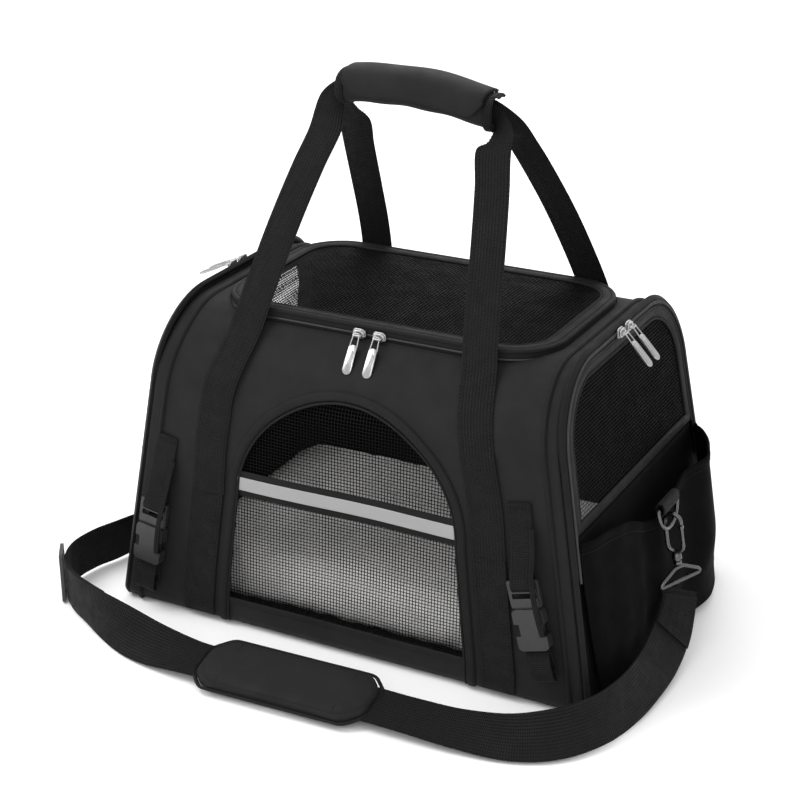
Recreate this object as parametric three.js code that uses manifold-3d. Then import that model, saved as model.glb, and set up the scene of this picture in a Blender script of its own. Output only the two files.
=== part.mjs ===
// Soft-sided pet carrier bag with two carry handles, three zipped mesh doors and a shoulder strap.
// Millimetres, +Z up. The origin is the middle of the underside; the front faces -Y, the right end +X.

import * as THREE from 'three';
import { mergeVertices } from 'three/addons/utils/BufferGeometryUtils.js';
import Module from 'manifold-3d';

const wasm = await Module();
wasm.setup();

// ---------------------------------------------------------------- driving dimensions
const baseLength = 430; // between the two end seams, at the floor
const endLean = 0.164; // inward lean of each end, per unit of height
const gap = 0.35; // clearance between touching pieces

// padded wall of the body
const wallHalfWidth = 143; // outer face at the floor
const wallLean = 0.069; // inward lean of the front and rear walls, per unit of height
const bodyTop = 266;
const shoulderRadius = 68;
const footRadius = 12;
const fabric = 3;
const boardHalfWidth = 110;
const boardBottom = 3.4;
const boardTop = 6.4;
const boardLength = 410;
const matLength = 408;

// raised rim round each end
const rimHalfWidth = 144;
const rimTop = 274;
const rimRadius = 70;
const rimDepth = 5.5; // how far the rim stands out from the seam
const rimWidth = 5;

// end door above the pocket, hinged along its lower edge
const endDoorInset = 5.6;
const endDoorBorder = 13;
const endDoorFloor = 144.5;
const endPanelTop = 142.5;
const pocketTop = 140;
const pocketFloor = 9;

// top door, a shallow lid with a deep border
const lidHalfLength = 150;
const lidFront = -88;
const lidRear = 92;
const lidCorner = 45;
const lidBorder = 12;
const lidBottom = 257;
const lidTop = 271.5;

// arched window in the front wall; the rear wall is whole
const windowFloor = 25;
const windowSpring = 122;
const windowApex = 218;
const windowFootHalf = 112;
const windowSpringHalf = 101;

// carry handles
const handleWidth = 30;
const webbing = 1.8;
const strapFootX = 140;
const strapStitchX = 128.6;
const stitchHeight = 118;
const sewnFoot = 20; // lower end of the stretch sewn flat to the wall
const gripHalfLength = 66;
const gripHeight = 441;

// shoulder strap
const strapWidth = 38;

// colours
const fabricBlack = new THREE.MeshStandardMaterial({ color: 0x17181a, roughness: 0.8, metalness: 0 });
const webbingBlack = new THREE.MeshStandardMaterial({ color: 0x121314, roughness: 0.75, metalness: 0 });
const meshBlack = new THREE.MeshStandardMaterial({ color: 0x0c0c0d, roughness: 0.6, metalness: 0 });
const plasticBlack = new THREE.MeshStandardMaterial({ color: 0x1c1c1e, roughness: 0.45, metalness: 0 });
const reflective = new THREE.MeshStandardMaterial({ color: 0x9a9a9c, roughness: 0.35, metalness: 0.2 });
const fleeceWhite = new THREE.MeshStandardMaterial({ color: 0xe9e6e0, roughness: 1, metalness: 0 });
const boardGrey = new THREE.MeshStandardMaterial({ color: 0x2a2a2c, roughness: 0.9, metalness: 0 });
const nickel = new THREE.MeshStandardMaterial({ color: 0xc8c8ca, roughness: 0.22, metalness: 1 });
const gunmetal = new THREE.MeshStandardMaterial({ color: 0x4a4a4e, roughness: 0.3, metalness: 1 });

// ---------------------------------------------------------------- solids and frames

// Drops everything but positions, so that shared corners become one vertex.
function welded(geometry) {
  geometry.deleteAttribute('normal');
  geometry.deleteAttribute('uv');
  return mergeVertices(geometry, 1e-4);
}

function signedVolume(geometry) {
  const at = geometry.attributes.position;
  const index = geometry.index;
  const [a, b, c] = [new THREE.Vector3(), new THREE.Vector3(), new THREE.Vector3()];
  let six = 0;
  for (let i = 0; i < index.count; i += 3) {
    a.fromBufferAttribute(at, index.getX(i));
    b.fromBufferAttribute(at, index.getX(i + 1));
    c.fromBufferAttribute(at, index.getX(i + 2));
    six += a.dot(b.cross(c));
  }
  return six / 6;
}

// Turns a geometry's faces outward, whatever mapping shaped it.
function facesOut(geometry) {
  if (signedVolume(geometry) < 0) {
    const order = geometry.index.array;
    for (let i = 0; i < order.length; i += 3) {
      [order[i], order[i + 1]] = [order[i + 1], order[i]];
    }
  }
  geometry.computeVertexNormals();
  return geometry;
}

function closed(geometry) {
  return facesOut(welded(geometry));
}

function toSolid(geometry) {
  return new wasm.Manifold(new wasm.Mesh({
    numProp: 3,
    vertProperties: new Float32Array(geometry.attributes.position.array),
    triVerts: new Uint32Array(geometry.index.array),
  }));
}

function fromSolid(solid) {
  const { vertProperties, triVerts } = solid.getMesh();
  const geometry = new THREE.BufferGeometry();
  geometry.setAttribute('position', new THREE.BufferAttribute(new Float32Array(vertProperties), 3));
  geometry.setIndex(new THREE.BufferAttribute(new Uint32Array(triVerts), 1));
  return facesOut(geometry);
}

function cut(body, ...tools) {
  return fromSolid(tools.reduce((left, tool) => left.subtract(toSolid(tool)), toSolid(body)));
}

function join(...bodies) {
  return fromSolid(bodies.map(toSolid).reduce((sum, next) => sum.add(next)));
}

// A shape pushed from one depth to another.
function plate(shape, from, to, curveSegments = 5, steps = 1) {
  const geometry = new THREE.ExtrudeGeometry(shape, {
    depth: to - from, bevelEnabled: false, curveSegments, steps,
  });
  return closed(geometry.translate(0, 0, from));
}

function box(x0, x1, y0, y1, z0, z1) {
  const geometry = new THREE.BoxGeometry(x1 - x0, y1 - y0, z1 - z0);
  return closed(geometry.translate((x0 + x1) / 2, (y0 + y1) / 2, (z0 + z1) / 2));
}

// A box whose grid of points is moved to where place(u, v, w) says, each from 0 to 1.
function shapedBox(counts, place) {
  const geometry = welded(new THREE.BoxGeometry(1, 1, 1, ...counts));
  const at = geometry.attributes.position;
  for (let i = 0; i < at.count; i++) {
    const point = place(at.getX(i) + 0.5, at.getY(i) + 0.5, at.getZ(i) + 0.5);
    at.setXYZ(i, point.x, point.y, point.z);
  }
  return facesOut(geometry);
}

function moved(geometry, change) {
  const at = geometry.attributes.position;
  const point = new THREE.Vector3();
  for (let i = 0; i < at.count; i++) {
    change(point.fromBufferAttribute(at, i));
    at.setXYZ(i, point.x, point.y, point.z);
  }
  return facesOut(geometry);
}

// A flat strap along stations of { centre, across }, where across is half the width.
function ribbon(stations, steps, thickness) {
  const middle = new THREE.CatmullRomCurve3(stations.map((s) => s.centre), false, 'centripetal');
  const side = new THREE.CatmullRomCurve3(stations.map((s) => s.across), false, 'catmullrom', 0.4);
  return shapedBox([1, 1, steps], (u, v, w) => {
    const across = side.getPoint(w);
    const normal = middle.getTangent(w).cross(across).normalize();
    return middle.getPoint(w)
      .addScaledVector(across, 2 * u - 1)
      .addScaledVector(normal, (v - 0.5) * thickness);
  });
}

function outline(points) {
  return new THREE.Shape(points.map(([x, y]) => new THREE.Vector2(x, y)));
}

function roundedRectangle(x0, x1, y0, y1, radius) {
  const shape = new THREE.Shape();
  shape.moveTo(x0 + radius, y0);
  shape.absarc(x1 - radius, y0 + radius, radius, -Math.PI / 2, 0, false);
  shape.absarc(x1 - radius, y1 - radius, radius, 0, Math.PI / 2, false);
  shape.absarc(x0 + radius, y1 - radius, radius, Math.PI / 2, Math.PI, false);
  shape.absarc(x0 + radius, y0 + radius, radius, Math.PI, 1.5 * Math.PI, false);
  return shape;
}

function ring(outer, inner) {
  outer.holes.push(inner);
  return outer;
}

const object = new THREE.Group();

function add(name, geometry, material, parent = object) {
  const mesh = new THREE.Mesh(geometry, material);
  mesh.name = name;
  parent.add(mesh);
  return mesh;
}

// A group whose local X, Y and Z lie along the given directions.
function frame(origin, right, up, out, parent = object) {
  const group = new THREE.Group();
  const turn = new THREE.Matrix4().makeBasis(right, up, out);
  group.quaternion.setFromRotationMatrix(turn);
  group.position.copy(origin);
  parent.add(group);
  return group;
}

function mirrored(geometry) {
  return facesOut(geometry.clone().scale(-1, 1, 1));
}

// Both ends are alike; a piece is made for the right end and mirrored to the left.
function addAtEnd(side, name, geometry, material) {
  return add(`${side}_${name}`, side === 'right' ? geometry : mirrored(geometry), material);
}

const sides = ['left', 'right'];
const signOf = { left: -1, right: 1 };

// ---------------------------------------------------------------- body of the bag

// Ends lean inward, so a length along X shrinks with height.
function leanIn(point) {
  point.x *= 1 - (endLean * point.z) / (baseLength / 2);
}

// Between the end hoops the shoulders are pulled flatter, down to the edge of the top door.
const shoulderY = wallHalfWidth - wallLean * (bodyTop - shoulderRadius) - shoulderRadius;
const shoulderZ = bodyTop - shoulderRadius;
const lidEdgeAngle = Math.acos((-lidFront - shoulderY) / shoulderRadius);
const relaxedShoulder = new THREE.QuadraticBezierCurve(
  new THREE.Vector2(shoulderY + shoulderRadius, shoulderZ),
  new THREE.Vector2(127, 224),
  new THREE.Vector2(-lidFront, shoulderZ + shoulderRadius * Math.sin(lidEdgeAngle)),
);
const hoopReach = [90, 190]; // distance from the middle where the shoulder turns from flat to round

function relaxShoulder(point) {
  const y = Math.abs(point.y) - shoulderY;
  const z = point.z - shoulderZ;
  if (y < 0 || z < 0) {
    return;
  }
  const angle = Math.atan2(z, y);
  if (angle > lidEdgeAngle) {
    return;
  }
  const target = relaxedShoulder.getPoint(angle / lidEdgeAngle);
  const slack = 1 - THREE.MathUtils.smoothstep(Math.abs(point.x), ...hoopReach);
  point.y += Math.sign(point.y) * slack * (target.x - shoulderY - shoulderRadius * Math.cos(angle));
  point.z += slack * (target.y - shoulderZ - shoulderRadius * Math.sin(angle));
}

const footY = wallHalfWidth - wallLean * footRadius - footRadius;

// One side of the body's section, from the edge of the base to the edge of the flat top.
function wallPath(inset) {
  const path = new THREE.Path();
  path.absarc(footY, footRadius, footRadius - inset, -Math.PI / 2, 0, false);
  path.absarc(shoulderY, shoulderZ, shoulderRadius - inset, 0, Math.PI / 2, false);
  return path.getPoints(4);
}

const alongX = new THREE.Matrix4().makeBasis(
  new THREE.Vector3(0, 1, 0),
  new THREE.Vector3(0, 0, 1),
  new THREE.Vector3(1, 0, 0),
);
const seamGap = 0.6;
const bodyLength = baseLength - seamGap;

// A shape in the YZ plane pushed along the body's whole length between the leaning ends.
function alongBody(shape, steps, length = bodyLength) {
  const geometry = plate(shape, -length / 2, length / 2, 6, steps).applyMatrix4(alongX);
  return moved(geometry, leanIn);
}

function lidOutline(grow) {
  return roundedRectangle(
    -lidHalfLength - grow, lidHalfLength + grow, lidFront - grow, lidRear + grow, lidCorner + grow,
  );
}

function windowOutline(grow) {
  const shape = new THREE.Shape();
  shape.moveTo(-windowFootHalf - grow, windowFloor - grow);
  shape.lineTo(windowFootHalf + grow, windowFloor - grow);
  shape.absellipse(
    0, windowSpring, windowSpringHalf + grow, windowApex - windowSpring + grow, 0, Math.PI, false,
  );
  return shape;
}

// Frames of the two walls: local X runs across, Y up the wall and Z outward.
const wallUp = new THREE.Vector3(0, wallLean, 1).normalize();
const wallOut = new THREE.Vector3(0, -1, wallLean).normalize();
const frontWall = frame(
  new THREE.Vector3(0, -wallHalfWidth, 0), new THREE.Vector3(1, 0, 0), wallUp, wallOut,
);
const rearTurn = new THREE.Group();
rearTurn.rotation.z = Math.PI;
object.add(rearTurn);
const rearWall = frame(
  new THREE.Vector3(0, -wallHalfWidth, 0), new THREE.Vector3(1, 0, 0), wallUp, wallOut, rearTurn,
);
object.updateMatrixWorld(true);

const lidOpening = plate(lidOutline(0.6), 235, 290);

function wallPanel(front) {
  const sign = front ? -1 : 1;
  const outer = wallPath(0).map((p) => [sign * p.x, p.y]);
  const inner = wallPath(fabric).map((p) => [sign * p.x, p.y]);
  const sheet = moved(alongBody(outline([...outer, ...inner.reverse()]), 8), relaxShoulder);
  if (!front) {
    return cut(sheet, lidOpening);
  }
  const opening = plate(windowOutline(0), -24, 8).applyMatrix4(frontWall.matrixWorld);
  return cut(sheet, opening, lidOpening);
}

const flatEdge = footY - gap;
const baseSection = outline([[-flatEdge, 0], [flatEdge, 0], [flatEdge, fabric], [-flatEdge, fabric]]);
add('base_panel', alongBody(baseSection, 1), fabricBlack);
add('front_panel', wallPanel(true), fabricBlack);
add('rear_panel', wallPanel(false), fabricBlack);

const topEdge = shoulderY - gap;
for (const side of sides) {
  const strip = box(100, bodyLength / 2, -topEdge, topEdge, bodyTop - fabric, bodyTop);
  addAtEnd(side, 'top_panel', cut(moved(strip, leanIn), lidOpening), fabricBlack);
}

const boardSection = outline([
  [-boardHalfWidth, boardBottom], [boardHalfWidth, boardBottom],
  [boardHalfWidth, boardTop], [-boardHalfWidth, boardTop],
]);
add('base_board', alongBody(boardSection, 1, boardLength), boardGrey);

const matSection = new THREE.Shape();
matSection.moveTo(-112, 6.9);
matSection.lineTo(112, 6.9);
matSection.quadraticCurveTo(130, 10, 132, 28);
matSection.lineTo(131, 50);
matSection.quadraticCurveTo(129, 58, 118, 59);
matSection.lineTo(-118, 59);
matSection.quadraticCurveTo(-129, 58, -131, 50);
matSection.lineTo(-132, 28);
matSection.quadraticCurveTo(-130, 10, -112, 6.9);
add('fleece_mat', alongBody(matSection, 1, matLength), fleeceWhite);

add('front_window_mesh', plate(windowOutline(-gap), -2.2, -1), meshBlack, frontWall);
const stripHalfLength = 97;
const stripMiddle = 133;
const stripHalfHeight = 11.5;
add(
  'front_reflective_strip',
  box(
    -stripHalfLength, stripHalfLength,
    stripMiddle - stripHalfHeight, stripMiddle + stripHalfHeight, -0.6, 0.7,
  ),
  reflective,
  frontWall,
);

// ---------------------------------------------------------------- ends

// Outline of an end in the YZ plane, drawn in from the rim's outer edge.
const rimFootY = rimHalfWidth - wallLean * footRadius - footRadius;
const rimArcZ = rimTop - rimRadius;
const rimArcY = rimHalfWidth - wallLean * rimArcZ - rimRadius;

function endEdgeAt(z, inset) {
  return rimHalfWidth - wallLean * z - inset;
}

function archOver(shape, inset) {
  shape.absarc(rimArcY, rimArcZ, rimRadius - inset, 0, Math.PI / 2, false);
  shape.absarc(-rimArcY, rimArcZ, rimRadius - inset, Math.PI / 2, Math.PI, false);
}

function footUnder(shape, inset) {
  shape.absarc(-rimFootY, footRadius, footRadius - inset, Math.PI, 1.5 * Math.PI, false);
  shape.absarc(rimFootY, footRadius, footRadius - inset, -Math.PI / 2, 0, false);
}

function fullEnd(inset) {
  const shape = new THREE.Shape();
  footUnder(shape, inset);
  archOver(shape, inset);
  return shape;
}

function doorEnd(inset, floor) {
  const shape = new THREE.Shape();
  shape.moveTo(-endEdgeAt(floor, inset), floor);
  shape.lineTo(endEdgeAt(floor, inset), floor);
  archOver(shape, inset);
  return shape;
}

function lowerEnd(inset, top) {
  const shape = new THREE.Shape();
  footUnder(shape, inset);
  shape.lineTo(endEdgeAt(top, inset), top);
  shape.lineTo(-endEdgeAt(top, inset), top);
  return shape;
}

// Local Z becomes the distance out from the right end's leaning seam plane.
const ontoEnd = new THREE.Matrix4().set(
  0, -endLean, 1, baseLength / 2,
  1, 0, 0, 0,
  0, 1, 0, 0,
  0, 0, 0, 1,
);

function onEnd(shape, from, to) {
  return facesOut(plate(shape, from, to).applyMatrix4(ontoEnd));
}

// The pocket bellies out, most of all towards the rear, and lies flat at its seams.
function pocketBelly(y, height) {
  const across = Math.max(0, 1 - Math.abs(y / 124) ** 3);
  const rearward = THREE.MathUtils.smoothstep(y, 15, 80);
  const upward = 0.62 + 0.38 * THREE.MathUtils.smoothstep(height, 0, 0.5);
  return (14 + 21 * rearward) * across ** 0.7 * upward;
}

// The ring hung on the hem pulls its middle down.
const hemSag = 26;
const hemSagAt = -12;
const hemSagSpread = 43;

function hemHeight(y) {
  return pocketTop - hemSag * Math.exp(-(((y - hemSagAt) / hemSagSpread) ** 2));
}

const pocketReach = 126; // half the pocket's width at its hem
const pocketNarrowing = 6;

function pocketSheet() {
  const thickness = 2;
  return shapedBox([20, 1, 5], (u, v, w) => {
    const reach = pocketReach - pocketNarrowing * (1 - w) ** 3;
    const y = (2 * u - 1) * reach;
    const z = pocketFloor + w * (hemHeight(y) - pocketFloor);
    const out = rimDepth + gap + pocketBelly(y, w) + v * thickness;
    return new THREE.Vector3(baseLength / 2 - endLean * z + out, y, z);
  });
}

for (const side of sides) {
  addAtEnd(side, 'end_rim', onEnd(ring(fullEnd(0), fullEnd(rimWidth)), 0.3, rimDepth), fabricBlack);
  addAtEnd(side, 'end_panel', onEnd(lowerEnd(endDoorInset, endPanelTop), 1, 3), fabricBlack);
  addAtEnd(side, 'pocket', pocketSheet(), fabricBlack);
  const frameShape = ring(
    doorEnd(endDoorInset, endDoorFloor),
    doorEnd(endDoorInset + endDoorBorder, endDoorFloor + 10),
  );
  addAtEnd(side, 'door_frame', onEnd(frameShape, 1.5, rimDepth), fabricBlack);
  const meshShape = doorEnd(endDoorInset + endDoorBorder + gap, endDoorFloor + 10 + gap);
  addAtEnd(side, 'door_mesh', onEnd(meshShape, 3, 4.2), meshBlack);
}

// ---------------------------------------------------------------- top door

const lidFrame = ring(lidOutline(0), lidOutline(-lidBorder));
add('top_door_frame', plate(lidFrame, lidBottom, lidTop), fabricBlack);
add('top_door_mesh', plate(lidOutline(-lidBorder - gap), lidTop - 3.2, lidTop - 2), meshBlack);

// ---------------------------------------------------------------- zip sliders and pulls

// Local frame: X along the chain, Y the way the pull hangs, Z out from the tape.
const sliderThickness = 3.2;
const barHeight = 6.2;
const barRadius = 0.65;
const legInner = 3.1;
const knuckleHalf = 2.7;

function sliderSolid() {
  const body = plate(roundedRectangle(-5.5, 5.5, -4.2, 4.2, 2.2), 0, sliderThickness, 2);
  const bar = closed(new THREE.CylinderGeometry(barRadius, barRadius, 2 * legInner + 1, 8));
  bar.rotateZ(Math.PI / 2).translate(0, 0, barHeight);
  const legs = [-1, 1].map((end) => {
    const [x0, x1] = end < 0 ? [-legInner - 1.1, -legInner] : [legInner, legInner + 1.1];
    return box(x0, x1, -1.3, 1.3, sliderThickness - 0.5, barHeight + 1);
  });
  return join(body, bar, ...legs);
}

// The pull turns on the slider's bar by a knuckle and lies along +Y from it; its pivot is the origin.
function pullSolid() {
  const shape = new THREE.Shape();
  shape.moveTo(-knuckleHalf, 1.4);
  shape.lineTo(knuckleHalf, 1.4);
  shape.lineTo(knuckleHalf, 5);
  shape.lineTo(4.2, 9);
  shape.lineTo(4.2, 28);
  shape.absarc(0, 28, 4.2, 0, Math.PI, false);
  shape.lineTo(-4.2, 9);
  shape.lineTo(-knuckleHalf, 5);
  shape.holes.push(roundedRectangle(-1.6, 1.6, 20, 27.5, 1.5));
  const barrel = closed(new THREE.CylinderGeometry(1.9, 1.9, 2 * knuckleHalf, 10).rotateZ(Math.PI / 2));
  const bore = closed(new THREE.CylinderGeometry(1, 1, 4 * knuckleHalf, 8).rotateZ(Math.PI / 2));
  return cut(join(plate(shape, -0.7, 0.7, 2), barrel), bore);
}

// A slider with its pull, swung by the given angle from hanging flat against the tape.
function addSlider(names, origin, right, up, out, swing) {
  const group = frame(origin, right, up, out);
  add(names[0], sliderSolid(), nickel, group);
  const pivot = new THREE.Group();
  pivot.position.z = barHeight;
  pivot.rotation.x = swing;
  group.add(pivot);
  add(names[1], pullSolid(), nickel, pivot);
}

const topSliderHeight = 264;
const topSliderSwing = THREE.MathUtils.degToRad(34);
for (const side of sides) {
  addSlider(
    [`top_${side}_slider`, `top_${side}_pull`],
    new THREE.Vector3(9 * signOf[side], lidFront - 0.8, topSliderHeight),
    new THREE.Vector3(-1, 0, 0),
    new THREE.Vector3(0, 0, -1),
    new THREE.Vector3(0, -1, 0),
    topSliderSwing,
  );
}

const endSliderHeight = rimTop - 4.5;
const endSliderOut = rimDepth + 2;
const endSliderSwing = { left: THREE.MathUtils.degToRad(66), right: THREE.MathUtils.degToRad(42) };
for (const side of sides) {
  for (const [place, y] of [['front', -8], ['rear', 8]]) {
    addSlider(
      [`${side}_${place}_slider`, `${side}_${place}_pull`],
      new THREE.Vector3(
        signOf[side] * (baseLength / 2 - endLean * endSliderHeight + endSliderOut), y, endSliderHeight,
      ),
      new THREE.Vector3(0, -signOf[side], 0),
      new THREE.Vector3(0, 0, -1),
      new THREE.Vector3(signOf[side], 0, 0),
      endSliderSwing[side],
    );
  }
}

// ---------------------------------------------------------------- carry handles

// Half a handle, from the stitching up to the grip: x, distance from the middle plane, z.
const handleLeg = [
  [128.2, 136.4, 119.6],
  [125, 133.9, 158],
  [119, 131.6, 194],
  [115.5, 129.3, 211],
  [111.5, 122.2, 227],
  [107.5, 109.8, 243],
  [104.5, 99, 258],
  [102, 92.6, 271.5],
  [97, 77.5, 300],
  [90, 56, 340],
  [81.5, 34.5, 380],
  [75, 21, 405],
];
// Inside the grip the webbing is folded narrow and stands on edge: x, y, z, turn, half width.
const gripRun = [
  [74.5, 10.5, 420.5, 0.6, 12.5],
  [68.5, 4.2, 431.8, 1.35, 8.6],
  [63, 3.6, 434.4, 1.55, 8.8],
  [50, 3.4, 437, Math.PI / 2, 9],
  [25, 3.4, 440, Math.PI / 2, 9],
  [8, 3.4, 441, Math.PI / 2, 9],
];
const sway = { front: -4, rear: 7 }; // sideways drift of each handle between the wall and the grip
const lidClearance = { front: 0, rear: 5 }; // how far each handle bows out past the top door's edge

function gripLine(x) {
  return gripHeight - 0.06 * x - 0.0016 * x * x;
}

function handleStations(place) {
  const faceSign = place === 'front' ? -1 : 1;
  const bow = (z, from, to) => Math.sin(Math.PI * THREE.MathUtils.clamp((z - from) / (to - from), 0, 1));
  const leg = handleLeg.map(([x, y, z]) => ({
    x,
    y: y + lidClearance[place] * bow(z, 190, 420),
    z,
    drift: sway[place] * bow(z, 130, 430),
    lift: 0,
    across: [1, 0],
    half: handleWidth / 2,
  }));
  const run = gripRun.map(([x, y, z, turn, half]) => (
    { x, y, z, drift: 0, lift: 1, across: [Math.cos(turn), Math.sin(turn)], half }
  ));
  const station = (s, sideSign) => {
    const x = sideSign * s.x + s.drift;
    const slope = s.lift * (gripLine(x) - (gripHeight - 0.0016 * x * x));
    return {
      centre: new THREE.Vector3(x, faceSign * s.y, s.z + slope),
      across: new THREE.Vector3(-sideSign * s.across[0] * s.half, 0, -s.across[1] * s.half),
    };
  };
  const half = [...leg, ...run];
  return [
    ...half.map((s) => station(s, -1)),
    ...half.slice().reverse().map((s) => station(s, 1)),
  ];
}

for (const place of ['front', 'rear']) {
  add(`${place}_handle`, ribbon(handleStations(place), 76, webbing), webbingBlack);
  const wall = place === 'front' ? frontWall : rearWall;
  for (const side of sides) {
    const sign = signOf[side] * (place === 'front' ? 1 : -1);
    const sewn = outline([
      [sign * strapFootX - handleWidth / 2, sewnFoot],
      [sign * strapFootX + handleWidth / 2, sewnFoot],
      [sign * strapStitchX + handleWidth / 2, stitchHeight],
      [sign * strapStitchX - handleWidth / 2, stitchHeight],
    ]);
    add(`${place}_${side}_sewn_strap`, plate(sewn, gap, gap + webbing), webbingBlack, wall);
  }
}

// The grip wrap is a padded channel round both handles, open to the rear where its flap closes.
const wrapSection = outline([
  [-14, -13], [13, -13], [14, -11.6], [-6, -11.6], [-6.6, 0], [-6, 11.6], [14, 11.6], [13, 13], [-14, 13],
  [-16, 7], [-16.5, 0], [-16, -7],
]);
const wrap = plate(wrapSection, -gripHalfLength, gripHalfLength, 1, 10).applyMatrix4(alongX);
add('grip_wrap', moved(wrap, (point) => { point.z += gripLine(point.x); }), fabricBlack);

// ---------------------------------------------------------------- compression straps and buckles

// Where each socket's lower end sits on the wall, and where its strap's line meets the same height.
const buckleFoot = { left: [-186.4, 46.7], right: [175, 56] };
const tabFoot = { left: [-186.4, 46.7], right: [169.5, 56] };
const buckleTilt = { left: 0.16, right: 0.28 };
const tabTilt = 0.16; // leans with the end of the bag
const tabHalfWidth = 10;
const tabLow = 36;
const tabHigh = 116;

function onFront([x, v], lean) {
  const group = new THREE.Group();
  group.position.set(x, v, 0);
  group.rotation.z = Math.atan(lean);
  frontWall.add(group);
  return group;
}

function socketSolid() {
  const shell = plate(roundedRectangle(-13, 13, 0, 34, 4), 4.6, 13.2, 3);
  const cavity = box(-10.6, 10.6, 5, 40, 6.6, 11.2);
  const windows = [-1, 1].map((end) => {
    const [x0, x1] = end < 0 ? [-15, -8.8] : [8.8, 15];
    return box(x0, x1, 12, 22, 0, 20);
  });
  return cut(shell, cavity, ...windows);
}

function plugSolid() {
  const shape = outline([
    [-12, 34.6], [-9.8, 34.6], [-9.8, 24], [-10.2, 19], [-8, 12], [-6.4, 12], [-6.4, 30], [-1.6, 34.6],
    [-1.6, 9], [1.6, 9], [1.6, 34.6], [6.4, 30], [6.4, 12], [8, 12], [10.2, 19], [9.8, 24], [9.8, 34.6],
    [12, 34.6], [13, 37], [13, 56], [12, 57], [-12, 57], [-13, 56], [-13, 37],
  ]);
  shape.holes.push(roundedRectangle(-10.4, 10.4, 42, 46.4, 0.8));
  shape.holes.push(roundedRectangle(-10.4, 10.4, 49.6, 54, 0.8));
  return plate(shape, 6.95, 10.85, 2);
}

for (const side of sides) {
  const tab = box(-tabHalfWidth, tabHalfWidth, tabLow, tabHigh, gap, gap + webbing);
  add(`${side}_compression_strap`, tab, webbingBlack, onFront(tabFoot[side], signOf[side] * tabTilt));
  const group = onFront(buckleFoot[side], signOf[side] * buckleTilt[side]);
  add(`${side}_buckle_socket`, socketSolid(), plasticBlack, group);
  add(`${side}_buckle_plug`, plugSolid(), plasticBlack, group);
}

// ---------------------------------------------------------------- D-rings, snap hooks and strap eyes

const hangerY = -6;
const endUp = new THREE.Vector3(-endLean, 0, 1).normalize();
const endOut = new THREE.Vector3(1, 0, endLean).normalize();
const endAcross = new THREE.Vector3(0, 1, 0);
const hangerFrame = new THREE.Matrix4()
  .makeBasis(endAcross, endUp, endOut)
  .setPosition(baseLength / 2, hangerY, 0);
const sectionAcross = new THREE.Matrix4() // a shape drawn out-and-up, pushed across
  .makeBasis(new THREE.Vector3(0, 0, 1), new THREE.Vector3(0, 1, 0), new THREE.Vector3(-1, 0, 0));

function hung(geometry) {
  return facesOut(geometry.applyMatrix4(hangerFrame));
}

function dShape(halfWidth, top, bottom) {
  const shape = new THREE.Shape();
  shape.moveTo(halfWidth, top);
  shape.lineTo(-halfWidth, top);
  shape.absellipse(0, top - 3, halfWidth, top - 3 - bottom, Math.PI, 2 * Math.PI, false);
  return shape;
}

function stadium(c0, c1, b0, b1) {
  return roundedRectangle(c0, c1, b0, b1, (c1 - c0) / 2 - 0.2);
}

const hookWire = 3.6;
const hookInner = 24.2; // distance out from the seam plane to the hook's near side
const hookOuter = hookInner + 17;
const hookBottom = 82;
const hookTop = 119;
const gateFoot = 90;
const gateTop = 108;

function hookSolid() {
  const loop = ring(
    stadium(hookInner, hookOuter, hookBottom, hookTop),
    stadium(hookInner + hookWire, hookOuter - hookWire, hookBottom + hookWire, hookTop - hookWire),
  );
  const wire = plate(loop, -hookWire / 2, hookWire / 2, 5).applyMatrix4(sectionAcross);
  const barrel = closed(new THREE.CylinderGeometry(3.2, 3.6, 10, 10));
  barrel.translate(0, hookBottom - 4, (hookInner + hookOuter) / 2);
  const mouth = box(-4, 4, gateFoot - 0.4, gateTop + 0.4, hookOuter - hookWire - 1, hookOuter + 1);
  return cut(join(wire, barrel), mouth);
}

function gateSolid() {
  const shape = roundedRectangle(hookOuter - hookWire + 0.4, hookOuter - 0.2, gateFoot, gateTop, 1.2);
  return plate(shape, -1.5, 1.5, 2).applyMatrix4(sectionAcross);
}

// The eye hangs on the hook's swivel, turned so that the strap faces forward.
const eyeTurn = -0.467;
function eyeSolid() {
  const outer = outline([[-23.4, 57], [23.4, 57], [23.4, 61], [4, 72.4], [-4, 72.4], [-23.4, 61]]);
  const inner = outline([[-19.8, 60.6], [19.8, 60.6], [3, 69], [-3, 69]]);
  const eye = plate(ring(outer, inner), -1.7, 1.7, 1);
  return eye.rotateY(eyeTurn).translate(0, 0, (hookInner + hookOuter) / 2 + 1);
}

const ringTabHalf = 17;

function ringTabSolid() {
  const shape = ring(
    roundedRectangle(22.6, 33.6, 121.4, 132.4, 2),
    roundedRectangle(28.0, 32.2, 124.4, 129.2, 0.8),
  );
  return plate(shape, -ringTabHalf, ringTabHalf, 2).applyMatrix4(sectionAcross);
}

for (const side of sides) {
  const dRing = plate(ring(dShape(22, 128.6, 104.6), dShape(18.6, 125.2, 108)), 28.4, 31.6, 4);
  addAtEnd(side, 'ring_tab', hung(ringTabSolid()), webbingBlack);
  addAtEnd(side, 'd_ring', hung(dRing), gunmetal);
  addAtEnd(side, 'snap_hook', hung(hookSolid()), gunmetal);
  addAtEnd(side, 'hook_gate', hung(gateSolid()), gunmetal);
  addAtEnd(side, 'strap_eye', hung(eyeSolid()), gunmetal);
}

// ---------------------------------------------------------------- shoulder strap, laid round the front

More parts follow.
